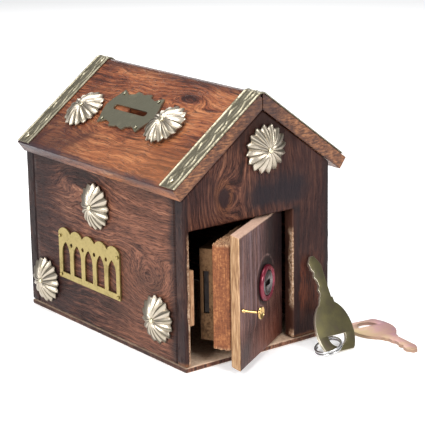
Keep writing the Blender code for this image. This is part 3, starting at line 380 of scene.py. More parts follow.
# The front gable: upright grain, a knot left of the middle, and a smoked patch over the
# right half of the doorway. The sawn faces of the doorway are bare, torn wood.
paint = Finish("front_gable_sheesham")
colour, relief, fibre, pore = sheesham(
    paint, paint.z, paint.x, paint.y,
    knots=((79.5, -20.0, 11.0, 7.5, 14.0),), seed=4.2, ring=3.4)
fray = paint.cloud(7.0, 4.0) - 0.5
knot = paint.x.maths("EXPONENT", -(((paint.z - 80.5) / 6.5) * ((paint.z - 80.5) / 6.5)
                                   + ((paint.x + 20.5) / 4.2) * ((paint.x + 20.5) / 4.2)))
knot = knot + fray * 0.5
halo = knot.rise(0.05, 0.35) * knot.rise(0.80, 0.45)
colour = colour.mix((0.230, 0.085, 0.036), halo * fibre.rise(0.36, 0.56) * 0.60)
colour = scorch_and_painted_shade(colour, knot.rise(0.45, 0.75) * 0.80, (0.020, 0.009, 0.009))
colour = scorch_and_painted_shade(colour, paint.cloud(20.0, 2.0, 0.5, 5.0).rise(0.40, 0.62) * 0.35,
                (0.030, 0.012, 0.012))
right_half = (paint.x + fray * 16.0).rise(-4.0, 30.0)
colour = scorch_and_painted_shade(colour, right_half * 0.70, (0.024, 0.010, 0.010))
smoke = ((paint.z + fray * 8.0).rise(70.0, 75.0)
         * (paint.z + fray * 10.0).rise(92.0, 80.0)
         * (paint.x + fray * 10.0).rise(-12.0, 0.0)
         * (paint.x + fray * 10.0).rise(34.0, 24.0))
colour = scorch_and_painted_shade(colour, smoke * 0.92, (0.014, 0.010, 0.013))
apex = (paint.z + fray * 8.0).rise(95.0, 112.0)
colour = scorch_and_painted_shade(colour, apex * 0.88, (0.020, 0.008, 0.006))
beside = ((paint.x + fray * 2.0).rise(26.0, 24.4) * paint.x.rise(20.8, 21.4)
          * (paint.z + fray * 6.0).rise(72.0, 67.0))
colour = scorch_and_painted_shade(colour, beside * 0.80, (0.012, 0.008, 0.009))
ember = ((paint.x + fray * 8.0).rise(25.0, 27.0) * paint.x.rise(42.0, 34.0)
         * (paint.z + fray * 14.0).rise(10.0, 22.0) * paint.z.rise(48.0, 30.0))
colour = colour.mix((0.150, 0.040, 0.018), ember * fibre.rise(0.34, 0.58) * 0.70)
stile = (paint.x + fray * 3.0).rise(26.0, 22.0) * paint.z.rise(68.0, 64.0)
colour = scorch_and_painted_shade(colour, stile * 0.45, (0.050, 0.018, 0.014))
corners = abs(paint.x) + fray * 4.0
colour = scorch_and_painted_shade(colour, corners.rise(38.5, 43.5) * 0.75)
foot = (paint.z + fray * 3.0).rise(5.0, 2.5)
colour = colour.mix((0.260, 0.105, 0.045), foot * 0.5)
jamb_face = paint.x.rise(21.9, 21.5) * paint.x.rise(10.0, 20.0) * paint.z.rise(68.3, 67.6)
colour = scorch_and_painted_shade(colour, jamb_face * 0.55, (0.090, 0.036, 0.022))
torn = jamb_face * (paint.y + fray * 5.5).rise(-64.2, -66.2) * paint.z.rise(60.0, 54.0)
torn = torn * paint.x.maths("MAXIMUM", paint.z.rise(16.0, 24.0), paint.z.rise(8.0, 5.0))
low_front = ((paint.x + fray * 2.4).rise(-42.5, -41.8) * paint.x.rise(-40.2, -40.7)
             * paint.z.rise(68.0, 62.0))
speck = paint.cloud(1.3, 3.0, 0.7)
sawn = speck.ramp((0.32, (0.13, 0.060, 0.030)), (0.5, (0.50, 0.30, 0.18)),
                  (0.66, (0.82, 0.62, 0.44)))
colour = colour.mix(sawn, torn * 0.95)
colour = colour.mix(sawn, low_front * 0.60)
relief = relief + speck * torn * 2.0
gable_finish = varnish(paint, colour, relief, fibre, pore, torn * 0.3 + 0.50)
roof_edge = [(SIDE, under_roof(SIDE)), (ROOF_MIDDLE, under_roof(ROOF_MIDDLE)),
             (-SIDE, under_roof(-SIDE))]
front_gable = sawn_board("front_gable_board",
                         [(-SIDE, WALL_FOOT), (-SIDE + WALL, WALL_FOOT), (-SIDE + WALL, LINTEL),
                          (JAMB, LINTEL), (JAMB, WALL_FOOT), (SIDE, WALL_FOOT)] + roof_edge,
                         FRONT, FRONT + GABLE, upright, seed=7.0)
dress(front_gable, "front_gable", "box", gable_finish)

# The back gable is one plain board.
paint = Finish("back_gable_sheesham")
colour, relief, fibre, pore = sheesham(
    paint, paint.z, paint.x, paint.y, knots=((52.0, 12.0, 16.0, 9.0, -24.0),), seed=12.5)
fray = paint.cloud(7.0, 4.0, 0.55, 6.0) - 0.5
corners = abs(paint.x) + fray * 5.0
colour = scorch_and_painted_shade(colour, corners.rise(37.5, 43.5) * 0.75)
slope = (paint.z + abs(paint.x - 3.0) * 0.748 + fray * 6.0)
colour = scorch_and_painted_shade(colour, slope.rise(109.0, 117.5) * 0.6)
back_finish = varnish(paint, colour, relief, fibre, pore, 0.50)
back_gable = sawn_board("back_gable_board",
                        [(-SIDE, WALL_FOOT), (SIDE, WALL_FOOT)] + roof_edge,
                        BACK - GABLE, BACK, upright, seed=11.0)
dress(back_gable, "back_gable", "box", back_finish)

# The base board: its edges are stained, its top and underside are bare and pale.
paint = Finish("base_sheesham")
colour, relief, fibre, pore = sheesham(paint, paint.y, paint.x, paint.z, seed=15.0, light=0.06)
speck = paint.cloud(1.6, 3.0, 0.7)
bare = speck.ramp((0.2, (0.42, 0.25, 0.15)), (0.5, (0.76, 0.54, 0.38)),
                  (0.8, (0.88, 0.72, 0.56)))
fray = paint.cloud(5.0, 4.0) - 0.5
top = paint.z.rise(1.9, 2.3) * (paint.y + fray * 1.4).rise(-68.4, -67.7)
under = paint.z.rise(0.5, 0.1)
colour = colour.mix(bare, top * 0.90)
colour = colour.mix(bare, under * 0.55)
corner = (abs(paint.x) + fray * 3.0).rise(41.5, 43.8)
colour = scorch_and_painted_shade(colour, corner * 0.6)
base_finish = paint.close(colour, 0.62 - fibre * 0.1 + pore * 0.1, relief, 0.00012, shine=0.2)
base = sawn_board("base_plank", [(-SIDE, 0), (SIDE, 0), (SIDE, FLOOR), (-SIDE, FLOOR)],
                  FRONT, BACK, upright, round_off=0.0005, worn=0.0002, seed=13.0)
dress(base, "base_board", "box", base_finish)

# ---------------------------------------------------------------- roof
# Two thick boards of the same wood, meeting at a ridge that is planed round. The grain
# runs from gable to gable; ridge, eaves and the ends are scorched.
ROOF_HALF = 0.0520


def slope_point(side, down, lift):
    """A point on one roof face: down the slope from the ridge, and lifted off it."""
    return (ROOF_MIDDLE + side * (down * math.cos(PITCH) + lift * math.sin(PITCH)),
            RIDGE - down * math.sin(PITCH) + lift * math.cos(PITCH))


def ridge_arc(side, lift, steps):
    """From the crown down to where the roof face starts."""
    middle = RIDGE - 0.0030 / math.cos(PITCH)
    points = []
    for step in range(steps + 1):
        turn = PITCH * step / steps
        points.append((ROOF_MIDDLE + side * (0.0030 + lift) * math.sin(turn),
                       middle + (0.0030 + lift) * math.cos(turn)))
    return points


def cut_box(piece, size, place):
    """Cut a box-shaped hole in a piece."""
    mesh = bpy.data.meshes.new("cutter")
    bm = bmesh.new()
    bmesh.ops.create_cube(bm, size=1.0)
    bmesh.ops.transform(bm, verts=bm.verts, matrix=Matrix.Diagonal((*size, 1)))
    bm.to_mesh(mesh)
    bm.free()
    cutter = bpy.data.objects.new("cutter", mesh)
    bpy.context.scene.collection.objects.link(cutter)
    cutter.matrix_world = place
    cut = piece.modifiers.new("Cut", "BOOLEAN")
    cut.operation, cut.solver, cut.object = "DIFFERENCE", "EXACT", cutter
    bpy.context.view_layer.update()
    piece.data = bpy.data.meshes.new_from_object(
        piece.evaluated_get(bpy.context.evaluated_depsgraph_get()))
    piece.modifiers.clear()
    bpy.data.objects.remove(cutter, do_unlink=True)


SLOPE = ROOF_HALF / math.cos(PITCH)
COIN_SLOT, SLOT_DOWN, SLOT_Y = (0.0036, 0.0281, 0.02), 0.0292, -0.0055
for side, word in ((-1, "left"), (1, "right")):
    paint = Finish(f"roof_{word}_sheesham")
    down = abs(paint.x - 1000 * ROOF_MIDDLE) / math.cos(PITCH)
    knots = ((-27.0, 13.0, 14.0, 4.5, 9.0),) if side < 0 else ((18.0, 34.0, 18.0, 8.0, 16.0),)
    colour, relief, fibre, pore = sheesham(
        paint, paint.y, down, paint.z,
        stops=((0.0, (0.026, 0.007, 0.005)), (0.28, (0.090, 0.024, 0.012)),
               (0.52, (0.190, 0.056, 0.024)), (0.78, (0.310, 0.110, 0.044)),
               (1.0, (0.420, 0.175, 0.076))),
        knots=knots, seed=21.0 + side, light=0.06, swirl=14.0)
    fray = paint.cloud(10.0, 4.0) - 0.5
    warm = (down + fray * 12.0).rise(34.0, 56.0) * paint.y.rise(20.0, -30.0)
    colour = colour.mix((0.340, 0.135, 0.052), warm * 0.30)
    blotch = (paint.cloud(17.0, 2.0, 0.5, 9.0).rise(0.52, 0.68)
              * down.rise(26.0, 44.0) * paint.y.rise(-12.0, 14.0))
    colour = scorch_and_painted_shade(colour, blotch * 0.75, (0.035, 0.010, 0.010))
    colour = scorch_and_painted_shade(colour, (down + fray * 10.0).rise(30.0, 58.0)
                    * paint.y.rise(0.0, 40.0) * 0.75, (0.036, 0.012, 0.011))
    colour = scorch_and_painted_shade(colour, (down + fray * 6.0).rise(8.0, 0.0) * 0.72,
                    (0.024, 0.012, 0.012))
    colour = scorch_and_painted_shade(colour, (down + fray * 4.0).rise(61.0, 65.5) * 0.85,
                    (0.030, 0.020, 0.028))
    lift = (paint.z - 1000 * RIDGE) * math.cos(PITCH) + down * math.sin(PITCH) * math.cos(PITCH)
    end = abs(paint.y).rise(67.3, 67.9)
    grained = paint.x.noise(paint.x / 3.0, paint.z / 0.8, paint.y / 9.0, 3.0)
    end_wood = grained.ramp((0.35, (0.040, 0.015, 0.009)), (0.5, (0.130, 0.050, 0.023)),
                            (0.68, (0.320, 0.140, 0.060)))
    colour = colour.mix(end_wood, end * 0.85)
    colour = scorch_and_painted_shade(colour, end * (down + fray * 8.0).rise(26.0, 4.0) * 0.62,
                    (0.030, 0.014, 0.014))
    colour = scorch_and_painted_shade(colour, end * lift.rise(-5.0, -6.6) * 0.5, (0.030, 0.014, 0.014))
    roof_finish = paint.close(colour, 0.42 - fibre * 0.14 + pore * 0.2, relief, 0.00012,
                              coat=0.10, shine=0.30)
    crown = ridge_arc(side, 0.0, 6)
    crown[0] = (ROOF_MIDDLE + side * 0.00015, crown[0][1])
    outline = crown + [slope_point(side, SLOPE, 0), slope_point(side, SLOPE, -ROOF_BOARD),
                       (ROOF_MIDDLE + side * 0.00015, RIDGE - ROOF_BOARD / math.cos(PITCH))]
    board = sawn_board(f"roof_{word}_board", outline, FRONT, BACK, upright, round_off=0.0011,
                       worn=0.00035, seed=17.0 + side)
    if side < 0:
        middle_x, middle_z = slope_point(-1, SLOT_DOWN, -ROOF_BOARD / 2)
        cut_box(board, COIN_SLOT, Matrix.Translation((middle_x, SLOT_Y, middle_z))
                @ Matrix.Rotation(-PITCH, 4, "Y"))
    dress(board, f"roof_{word}", "box", roof_finish)

# ---------------------------------------------------------------- brass strips
# Thin pressed brass, bent over the ridge at each gable and nailed near the eaves. A wavy
# stem with leaves is embossed between two raised borders; the hollows have gone dark.


def brass(name, light, dark, tarnish=0.5, grain=1.2, rough=0.30):
    """Worn brass: bright where it is rubbed, brown-green where dirt stays."""
    paint = Finish(name)
    cloud = paint.cloud(7.0, 4.0, 0.6)
    fine = paint.cloud(grain, 3.0, 0.6, 2.0)
    dirt = (cloud * 0.55 + fine * 0.45).rise(0.42 + 0.12 * (1 - tarnish), 0.68)
    colour = (cloud * 0.5 + fine * 0.5).ramp((0.3, light), (0.75, tuple(c * 0.82 for c in light)))
    colour = colour.mix(dark, dirt * tarnish)
    return paint.close(colour, rough + dirt * 0.22 + fine * 0.08, fine, 0.00004, metallic=1.0)


strip_brass = brass("strip_brass", (0.40, 0.36, 0.26), (0.09, 0.08, 0.05), tarnish=0.90,
                    rough=0.36)
STRIP_LIFT, STRIP_SHEET = 0.0003, 0.0006


def strip_line(lift):
    """Points over the roof from left to right with the distance run, at a lift."""
    points = []
    for side, short in ((-1, 0.0008), (1, 0.0030)):
        straight_start = 0.0030 * math.tan(PITCH)
        length = SLOPE - short
        steps = int((length - straight_start) / 0.00055)
        run = [slope_point(side, straight_start + (length - straight_start) * n / steps, lift)
               for n in range(steps + 1)]
        half = ridge_arc(side, lift, 5)[:-1] + run
        points.append(half)
    return points[0][::-1] + points[1][1:]


def vine(along, across, half):
    """Embossed height from 0 to 1: borders, a wavy stem, and a leaf in each bend."""
    border = max(0.0, 1 - abs(abs(across) - (half - 0.0009)) / 0.0005)
    wave = 0.0220
    sweep = half * 0.40
    phase = 2 * math.pi * along / wave
    stem = sweep * math.sin(phase)
    steep = 1 + (sweep * 2 * math.pi / wave * math.cos(phase)) ** 2
    ridge = max(0.0, 1 - abs(across - stem) / (0.00070 * math.sqrt(steep)))
    leaf = 0.0
    for turn in (0, 1):
        middle = wave * (round((along / wave) - 0.25 - 0.5 * turn) + 0.25 + 0.5 * turn)
        sign = 1 if turn == 0 else -1
        u = (along - middle) / (wave * 0.40)
        v = (across + sign * half * 0.26 - sign * 0.35 * half * u * u) / (half * 0.30)
        body = 1 - u * u - v * v
        if body > 0:
            rib = 0.35 if abs(v) < 0.16 else 0.0
            leaf = max(leaf, min(1.0, body * 2.2) * (0.85 - rib))
    return max(border, ridge * 0.9, leaf * 0.8)


for word, width, middle in (("front", 0.0120, FRONT + 0.0060), ("back", 0.0105, BACK - 0.00525)):
    half = width / 2
    line = strip_line(STRIP_LIFT + STRIP_SHEET * 0.45)
    under = strip_line(STRIP_LIFT)
    rows = 30
    bm = bmesh.new()
    tops, bottoms = [], []
    run = 0.0
    for index, (x, z) in enumerate(line):
        if index:
            run += math.dist(line[index - 1], line[index])
        before, after = line[max(0, index - 1)], line[min(len(line) - 1, index + 1)]
        normal = Vector((before[1] - after[1], 0, after[0] - before[0])).normalized()
        top, bottom = [], []
        for row in range(rows + 1):
            across = -half + width * row / rows
            height = vine(run, across, half) * STRIP_SHEET * 0.9
            top.append(bm.verts.new(Vector((x, middle + across, z)) + normal * height))
        for row in (0, rows):
            across = -half + width * row / rows
            bottom.append(bm.verts.new((under[index][0], middle + across, under[index][1])))
        tops.append(top)
        bottoms.append(bottom)
    for index in range(len(line) - 1):
        for row in range(rows):
            bm.faces.new((tops[index][row], tops[index + 1][row], tops[index + 1][row + 1],
                          tops[index][row + 1]))
        bm.faces.new((bottoms[index][1], bottoms[index + 1][1], bottoms[index + 1][0],
                      bottoms[index][0]))
        bm.faces.new((bottoms[index][0], bottoms[index + 1][0], tops[index + 1][0],
                      tops[index][0]))
        bm.faces.new((tops[index][rows], tops[index + 1][rows], bottoms[index + 1][1],
                      bottoms[index][1]))
    for end in (0, -1):
        bm.faces.new(tops[end] + bottoms[end][::-1])
    bmesh.ops.recalc_face_normals(bm, faces=bm.faces)
    strip = made(f"strip_{word}_pressed", bm, 50, upright)
    dress(strip, f"strip_{word}", "box", strip_brass)

# ---------------------------------------------------------------- rosettes
# Six pressed brass rosettes, each with sixteen pleated, pointed petals that rise to a
# small hub, held by one round-headed pin through the middle.
PETALS = 16


def seat_of(node, outward):
    """The point on a round piece's axis where it meets the wood."""
    corners = [vertex.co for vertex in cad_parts[node].data.vertices]
    middle = sum(corners, Vector()) / len(corners)
    lowest = min(corner.dot(outward) for corner in corners)
    return middle + outward * (lowest - middle.dot(outward))


def standing_on(seat, outward):
    """Where a piece drawn upwards stands when it is seated on a face."""
    return Matrix.Translation(seat) @ outward.to_track_quat("Z", "Y").to_matrix().to_4x4()


def lathe(name, profile, sides, seat, outward):
    """A turned piece from (radius, height) pairs, standing on a seat."""
    bm = bmesh.new()
    loops = []
    for radius, height in profile:
        if radius < 1e-7:
            loops.append([bm.verts.new((0, 0, height))])
            continue
        loops.append([bm.verts.new((radius * math.cos(2 * math.pi * n / sides),
                                    radius * math.sin(2 * math.pi * n / sides), height))
                      for n in range(sides)])
    for lower, upper in zip(loops, loops[1:]):
        for n in range(sides):
            following = (n + 1) % sides
            ring = [lower[n % len(lower)], lower[following % len(lower)],
                    upper[following % len(upper)], upper[n % len(upper)]]
            corners = list(dict.fromkeys(ring))
            if len(corners) > 2:
                bm.faces.new(corners)
    for loop in (loops[0], loops[-1]):
        if len(loop) > 1:
            bm.faces.new(loop)
    bmesh.ops.recalc_face_normals(bm, faces=bm.faces)
    return made(name, bm, 40, standing_on(seat, outward))


def pressed_rosette(name, seat, outward, turn):
    """Sharp radial folds over a low dome, cut to points round the rim."""
    radius, rise = 0.0122, 0.0052
    rings, around = 18, PETALS * 8
    bm = bmesh.new()
    loops = []
    for ring in range(rings + 1):
        reach = 0.10 + 0.90 * (ring / rings)
        loop = []
        for n in range(around):
            angle = 2 * math.pi * n / around
            fold = abs((n % 8) / 4 - 1)
            curled = fold ** 0.85
            cut = 1 - 0.17 * (1 - curled) * max(0.0, (reach - 0.45) / 0.55) ** 1.5
            dome = math.cos(min(1.0, reach) * math.pi / 2) ** 0.75
            dish = 1 - 0.22 * max(0.0, 1 - reach / 0.28)
            pleat = 0.17 * min(1.0, reach * 1.9) * (1 - 0.45 * reach ** 3)
            level = rise * (0.86 * dome * dish + pleat * (curled - 0.5)) + 0.0006
            level = max(0.0002, level)
            out = radius * reach * cut
            loop.append(bm.verts.new((out * math.cos(angle + turn), out * math.sin(angle + turn),
                                      level)))
        loops.append(loop)
    for lower, upper in zip(loops, loops[1:]):
        for n in range(around):
            following = (n + 1) % around
            bm.faces.new((lower[n], lower[following], upper[following], upper[n]))
    bm.faces.new(loops[0][::-1])
    bmesh.ops.recalc_face_normals(bm, faces=bm.faces)
    piece = made(name, bm, 35, standing_on(seat, outward))
    thick = piece.modifiers.new("Sheet", "SOLIDIFY")
    thick.thickness = 0.00035
    thick.offset = -1
    return piece


paint = Finish("rosette_brass")
spread = paint.cloud(5.0, 3.0)
fine = paint.cloud(1.0, 3.0, 0.6, 2.0)
from_hub = paint.x.maths("SQRT", paint.x * paint.x + paint.y * paint.y)
petal = paint.x.maths("ARCTAN2", paint.y, paint.x) / (2 * math.pi) * PETALS
fold = abs(paint.x.maths("FRACT", petal + 32.0) - 0.5) * 2.0
# Painted shade: the folds between the petals are darkened towards olive black as if in shadow, and
# are also made rougher.
painted_fold_shade = (1.0 - fold).rise(0.55, 0.95) * from_hub.rise(1.5, 5.0)
gold = spread.ramp((0.3, (0.52, 0.46, 0.38)), (0.7, (0.40, 0.35, 0.27)))
gold = gold.mix((0.08, 0.07, 0.05), painted_fold_shade * 0.85 + fine.rise(0.58, 0.72) * 0.10)
rosette_brass = paint.close(gold, 0.33 + painted_fold_shade * 0.18 + fine * 0.08, fine, 0.00003, metallic=1.0)

dome_brass = brass("pin_brass", (0.80, 0.72, 0.52), (0.25, 0.20, 0.12), tarnish=0.35)
left, front_face = Vector((-1, 0, 0)), Vector((0, -1, 0))
left_slope = Vector((-math.sin(PITCH), 0, math.cos(PITCH)))
right_slope = Vector((math.sin(PITCH), 0, math.cos(PITCH)))


def round_head(name, node, outward, head, rise, material, body="box"):
    """A domed nail head with a short shank, in place of the plain one."""
    corners = [vertex.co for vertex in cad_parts[node].data.vertices]
    top = max(corner.dot(outward) for corner in corners)
    middle = sum(corners, Vector()) / len(corners)
    seat = middle + outward * (top - rise - middle.dot(outward))
    profile = [(head * 0.42, -0.0016), (head * 0.42, 0.0), (head * 0.95, 0.0),
               (head, rise * 0.18)]
    for step in range(1, 7):
        turn = math.pi / 2 * step / 6
        profile.append((head * math.cos(turn), rise * (0.18 + 0.82 * math.sin(turn))))
    profile[-1] = (0.0, rise)
    piece = lathe(name, profile, 24, seat, outward)
    return dress(piece, node, body, material)


for spot, outward, turn in (("gable", front_face, 0.10), ("wall_top", left, 0.05),
                            ("wall_front", left, 0.16), ("wall_rear", left, 0.0),
                            ("roof_front", left_slope, 0.12), ("roof_rear", left_slope, 0.03)):
    rosette = pressed_rosette(f"rosette_{spot}_pressed", seat_of(f"rosette_{spot}", outward),
                              outward, turn)
    dress(rosette, f"rosette_{spot}", "box", rosette_brass)
    round_head(f"rosette_pin_{spot}_head", f"rosette_pin_{spot}", outward, 0.0013, 0.0006,
               dome_brass)
for word in ("front", "back"):
    round_head(f"strip_nail_{word}_left_head", f"strip_nail_{word}_left", left_slope, 0.0013,
               0.0006, dome_brass)
    round_head(f"strip_nail_{word}_right_head", f"strip_nail_{word}_right", right_slope, 0.0013,
               0.0006, dome_brass)

# ---------------------------------------------------------------- coin plate
# A thin grey-olive brass plate with a cusped outline round the coin slot, held flat on
# the roof by four small pins at its corners.
plate_brass = brass("coin_plate_brass", (0.36, 0.34, 0.245), (0.20, 0.185, 0.13), tarnish=0.45,
                    rough=0.36)
paint_nodes(plate_brass, "coin_plate")
for number in range(1, 5):
    round_head(f"coin_plate_pin_{number}_head", f"coin_plate_pin_{number}", left_slope, 0.0009,
               0.0006, plate_brass)

# ---------------------------------------------------------------- pierced wall plate
# A flat plate of yellow brass sawn into five pointed arches under a scalloped top, held
# by four pins.
fret_brass = brass("fretwork_brass", (0.42, 0.33, 0.13), (0.20, 0.155, 0.06), tarnish=0.4,
                   rough=0.38)
paint_nodes(fret_brass, "fretwork_plate")
for number in range(1, 5):
    round_head(f"fretwork_pin_{number}_head", f"fretwork_pin_{number}", left, 0.0009, 0.0006,
               fret_brass)

# ---------------------------------------------------------------- door frame blocks
# Two bare offcuts: the head block over the door takes the top pin, and the keeper beside
# the door's free edge has the bolt slide behind it. Their ends are torn.


def raw_wood(name, dark, mid, pale_tone, vertical=True):
    """Bare wood with broken fibres."""
    paint = Finish(name)
    along = paint.z if vertical else paint.x
    across = paint.x if vertical else paint.z
    fibre = paint.x.noise(along / 6.0, across / 0.5, paint.y / 0.5, 4.0, 0.65)
    patch = paint.cloud(6.0, 3.0)
    colour = (fibre * 0.65 + patch * 0.35).ramp((0.28, dark), (0.5, mid), (0.72, pale_tone))
    return paint.close(colour, 0.75 + fibre * 0.1, fibre, 0.0004)


block_wood = raw_wood("bare_block_wood", (0.16, 0.070, 0.034), (0.36, 0.19, 0.095),
                      (0.58, 0.38, 0.22))


def torn_block(name, low, high, frame_in, seed, rip=0.0006, step=0.0012):
    """A sawn block whose end fibres have pulled out."""
    block = sawn_board(name, [(low[0], low[2]), (high[0], low[2]), (high[0], high[2]),
                              (low[0], high[2])], low[1], high[1], frame_in, step=step,
                       round_off=0.0004, worn=0.0003, seed=seed)
    for vertex in block.data.vertices:
        end = max(0.0, 1 - min(vertex.co.z - low[2], high[2] - vertex.co.z) / 0.0025)
        tear = noise.noise(Vector((vertex.co.x * 900, vertex.co.y * 900, seed)))
        inward = -1 if vertex.co.z > (low[2] + high[2]) / 2 else 1
        vertex.co.z += inward * end * rip * (0.6 + tear)
    return block


low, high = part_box("keeper_block")
keeper = torn_block("keeper_offcut", low, high, upright, 31.0)
dress(keeper, "keeper_block", "box", block_wood)
low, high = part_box("door_head_block")
head_block = torn_block("head_offcut", low, high, upright, 33.0)
dress(head_block, "door_head_block", "box", block_wood)

# ---------------------------------------------------------------- door
# One thick board hung on two wire pins. Its face is stained and varnished, its top and
# its bevelled free edge show bare wood. A sawn block behind it carries the lock.
HINGE = Vector((0.0169, -0.05825, 0))
SWING = math.radians(30.8)
door_frame = Matrix.Translation(HINGE) @ Matrix.Rotation(SWING, 4, "Z")
DOOR_EDGE, DOOR_HANG, DOOR_HALF, DOOR_BEVEL = -0.0544, 0.0040, 0.00325, 0.0052
DOOR_LOW, DOOR_HIGH = 0.0027, 0.0672
LOCK_X, LOCK_Z = -0.0203, 0.0362

paint = Finish("door_sheesham")
colour, relief, fibre, pore = sheesham(
    paint, paint.z, paint.x, paint.y,
    stops=((0.0, (0.026, 0.011, 0.010)), (0.30, (0.075, 0.030, 0.024)),
           (0.55, (0.145, 0.062, 0.046)), (0.80, (0.230, 0.115, 0.085)),
           (1.0, (0.330, 0.185, 0.135))), seed=27.0)
fray = paint.cloud(6.0, 4.0) - 0.5
streak = paint.x.noise(paint.x / 1.6, paint.z / 70.0, paint.y / 9.0, 3.0)
haze = (paint.x + fray * 8.0).rise(-12.0, -34.0) * paint.z.rise(14.0, 34.0)
colour = colour.mix((0.170, 0.110, 0.118), haze * streak.rise(0.40, 0.66) * 0.75)
colour = scorch_and_painted_shade(colour, streak.rise(0.47, 0.33) * 0.55, (0.030, 0.012, 0.012))
lower = paint.z.rise(24.0, 6.0) * paint.x.rise(-46.0, -30.0)
colour = colour.mix((0.150, 0.040, 0.020), lower * 0.45)
# Painted shade: the hinge side of the face, set back behind the front of the gable, is darkened as
# if in the shadow of the jamb and lintel.
hang = (paint.x + fray * 5.0).rise(-8.0, 3.0)
colour = scorch_and_painted_shade(colour, hang * 0.55, (0.022, 0.011, 0.011))
# Painted shade: the upper part of the face towards the hinge is darkened as if shaded by the
# lintel above it.
upper = (paint.x + fray * 7.0).rise(-26.0, -12.0) * paint.z.rise(26.0, 48.0)
colour = scorch_and_painted_shade(colour, upper * 0.80, (0.014, 0.010, 0.011))
from_lock = paint.x.maths("SQRT", (paint.x - 1000 * LOCK_X) * (paint.x - 1000 * LOCK_X)
                          + (paint.z - 1000 * LOCK_Z - 1.0) * (paint.z - 1000 * LOCK_Z - 1.0))
ghost = from_lock.rise(11.6, 12.2) * from_lock.rise(13.2, 12.6)
colour = colour.mix((0.28, 0.17, 0.15), ghost * fray.rise(-0.06, 0.10) * 0.40)
# Darker disc round the lock collar, out to about 12 mm from its axis.
colour = scorch_and_painted_shade(colour, from_lock.rise(12.4, 10.2) * 0.85, (0.010, 0.006, 0.006))
speck = paint.cloud(1.3, 3.0, 0.7)
bare = speck.ramp((0.25, (0.26, 0.135, 0.070)), (0.5, (0.44, 0.265, 0.150)),
                  (0.75, (0.60, 0.41, 0.26)))
top = (paint.z + fray * 0.8).rise(66.4, 66.9)
pink = bare.mix((0.66, 0.46, 0.38), 0.55)
colour = colour.mix(pink, top * 0.85)
edge_depth = paint.x - (paint.y + 1000 * DOOR_HALF) * (DOOR_BEVEL / (2 * DOOR_HALF))
edge_wood = paint.x.noise(paint.x / 1.4, paint.z / 9.0, paint.y / 1.2, 4.0, 0.6).ramp(
    (0.3, (0.18, 0.090, 0.045)), (0.52, (0.42, 0.25, 0.13)), (0.72, (0.62, 0.42, 0.25)))
free_edge = (edge_depth + fray * 0.8).rise(-53.7, -54.1)
colour = colour.mix(edge_wood, free_edge * 0.9)
door_finish = paint.close(colour, 0.48 - fibre * 0.12 + pore * 0.2 + top * 0.2 + free_edge * 0.2,
                          relief + speck * top, 0.00012, coat=0.03, shine=0.10)


def upright_board(name, outline, low, high, frame_in, **sizes):
    """A board drawn from above, in x and y, standing from low to high."""
    board = sawn_board(name, [(x, -y) for x, y in outline], low, high, Matrix.Identity(4), **sizes)
    stand = Matrix(((1, 0, 0, 0), (0, 0, -1, 0), (0, 1, 0, 0), (0, 0, 0, 1)))
    board.data.transform(stand)
    board.matrix_world = frame_in
    return board


door = upright_board("door_panel", [(DOOR_EDGE, -DOOR_HALF), (DOOR_HANG, -DOOR_HALF),
                                    (DOOR_HANG, DOOR_HALF), (DOOR_EDGE + DOOR_BEVEL, DOOR_HALF)],
                     DOOR_LOW, DOOR_HIGH, door_frame, step=0.0026, seed=41.0)
dress(door, "door_board", "door", door_finish)

paint = Finish("packing_wood")
fibre = paint.x.noise(paint.z / 9.0, paint.x / 0.55, paint.y / 0.55, 4.0, 0.65)
patch = paint.cloud(7.0, 3.0)
saw = paint.x.noise(paint.z / 0.8, paint.x / 7.0, paint.y / 3.0, 3.0)
grit = paint.cloud(1.1, 3.0, 0.7)
colour = (fibre * 0.30 + patch * 0.25 + saw * 0.10 + grit * 0.35).ramp(
    (0.34, (0.050, 0.012, 0.005)), (0.5, (0.190, 0.058, 0.018)), (0.64, (0.42, 0.18, 0.065)))
ends = (abs(paint.z - 36.2) + (patch - 0.5) * 3.0).rise(23.6, 25.6)
colour = colour.mix((0.56, 0.36, 0.20), ends * fibre.rise(0.38, 0.6) * 0.75)
packing_finish = paint.close(colour, 0.78 + fibre * 0.1, fibre + saw * 0.5, 0.0005)
packing = torn_block("packing_sawn", (-0.0489, 0.00355, 0.0102), (-0.0059, 0.01225, 0.0622),
                     door_frame, 43.0, rip=0.0008)
dress(packing, "packing_block", "door", packing_finish)

# Two plain wire pins hang the door. Only their ends can be seen.
paint = Finish("oiled_steel")
cloud = paint.cloud(2.0, 4.0)
colour = cloud.ramp((0.3, (0.014, 0.012, 0.012)), (0.6, (0.026, 0.022, 0.021)),
                    (0.8, (0.050, 0.030, 0.022)))
dark_steel = paint.close(colour, 0.38 + cloud * 0.25, cloud, 0.00003, metallic=1.0)
paint_nodes(dark_steel, "hinge_pin_top", "hinge_pin_bottom", "base_nail_front",
            "base_nail_back", "base_nail_left", "base_nail_right", "lock_bolt")

# The pull: a thin brass stem with a bright collar at the wood and a small dished head.
pull_brass = brass("pull_brass", (0.52, 0.34, 0.14), (0.40, 0.27, 0.10), tarnish=0.3, rough=0.2)
door_out = door_frame.to_3x3() @ Vector((0, -1, 0))
pull_seat = door_frame @ Vector((DOOR_EDGE + 0.0026, -DOOR_HALF, 0.0322))
stem, head, reach = 0.0007, 0.0030, 0.0101
pull = lathe("door_pull_turned",
             [(0.0, reach - 0.0002), (stem * 0.9, reach - 0.0004), (stem * 1.3, reach - 0.0010),
              (head * 0.55, reach - 0.0012), (head * 0.80, reach - 0.0006),
              (head * 0.93, reach - 0.0001), (head, reach - 0.0004), (head, reach - 0.0009),
              (head * 0.80, reach - 0.0015), (head * 0.45, reach - 0.0021),
              (stem, reach - 0.0026), (stem, 0.0018), (stem * 1.35, 0.0016),
              (stem * 1.5, 0.0012), (stem * 1.5, 0.0005), (stem * 1.2, 0.0003),
              (stem, 0.0003), (stem, -0.0014), (0.0, -0.0014)], 40, pull_seat, door_out)
dress(pull, "door_pull", "door", pull_brass)

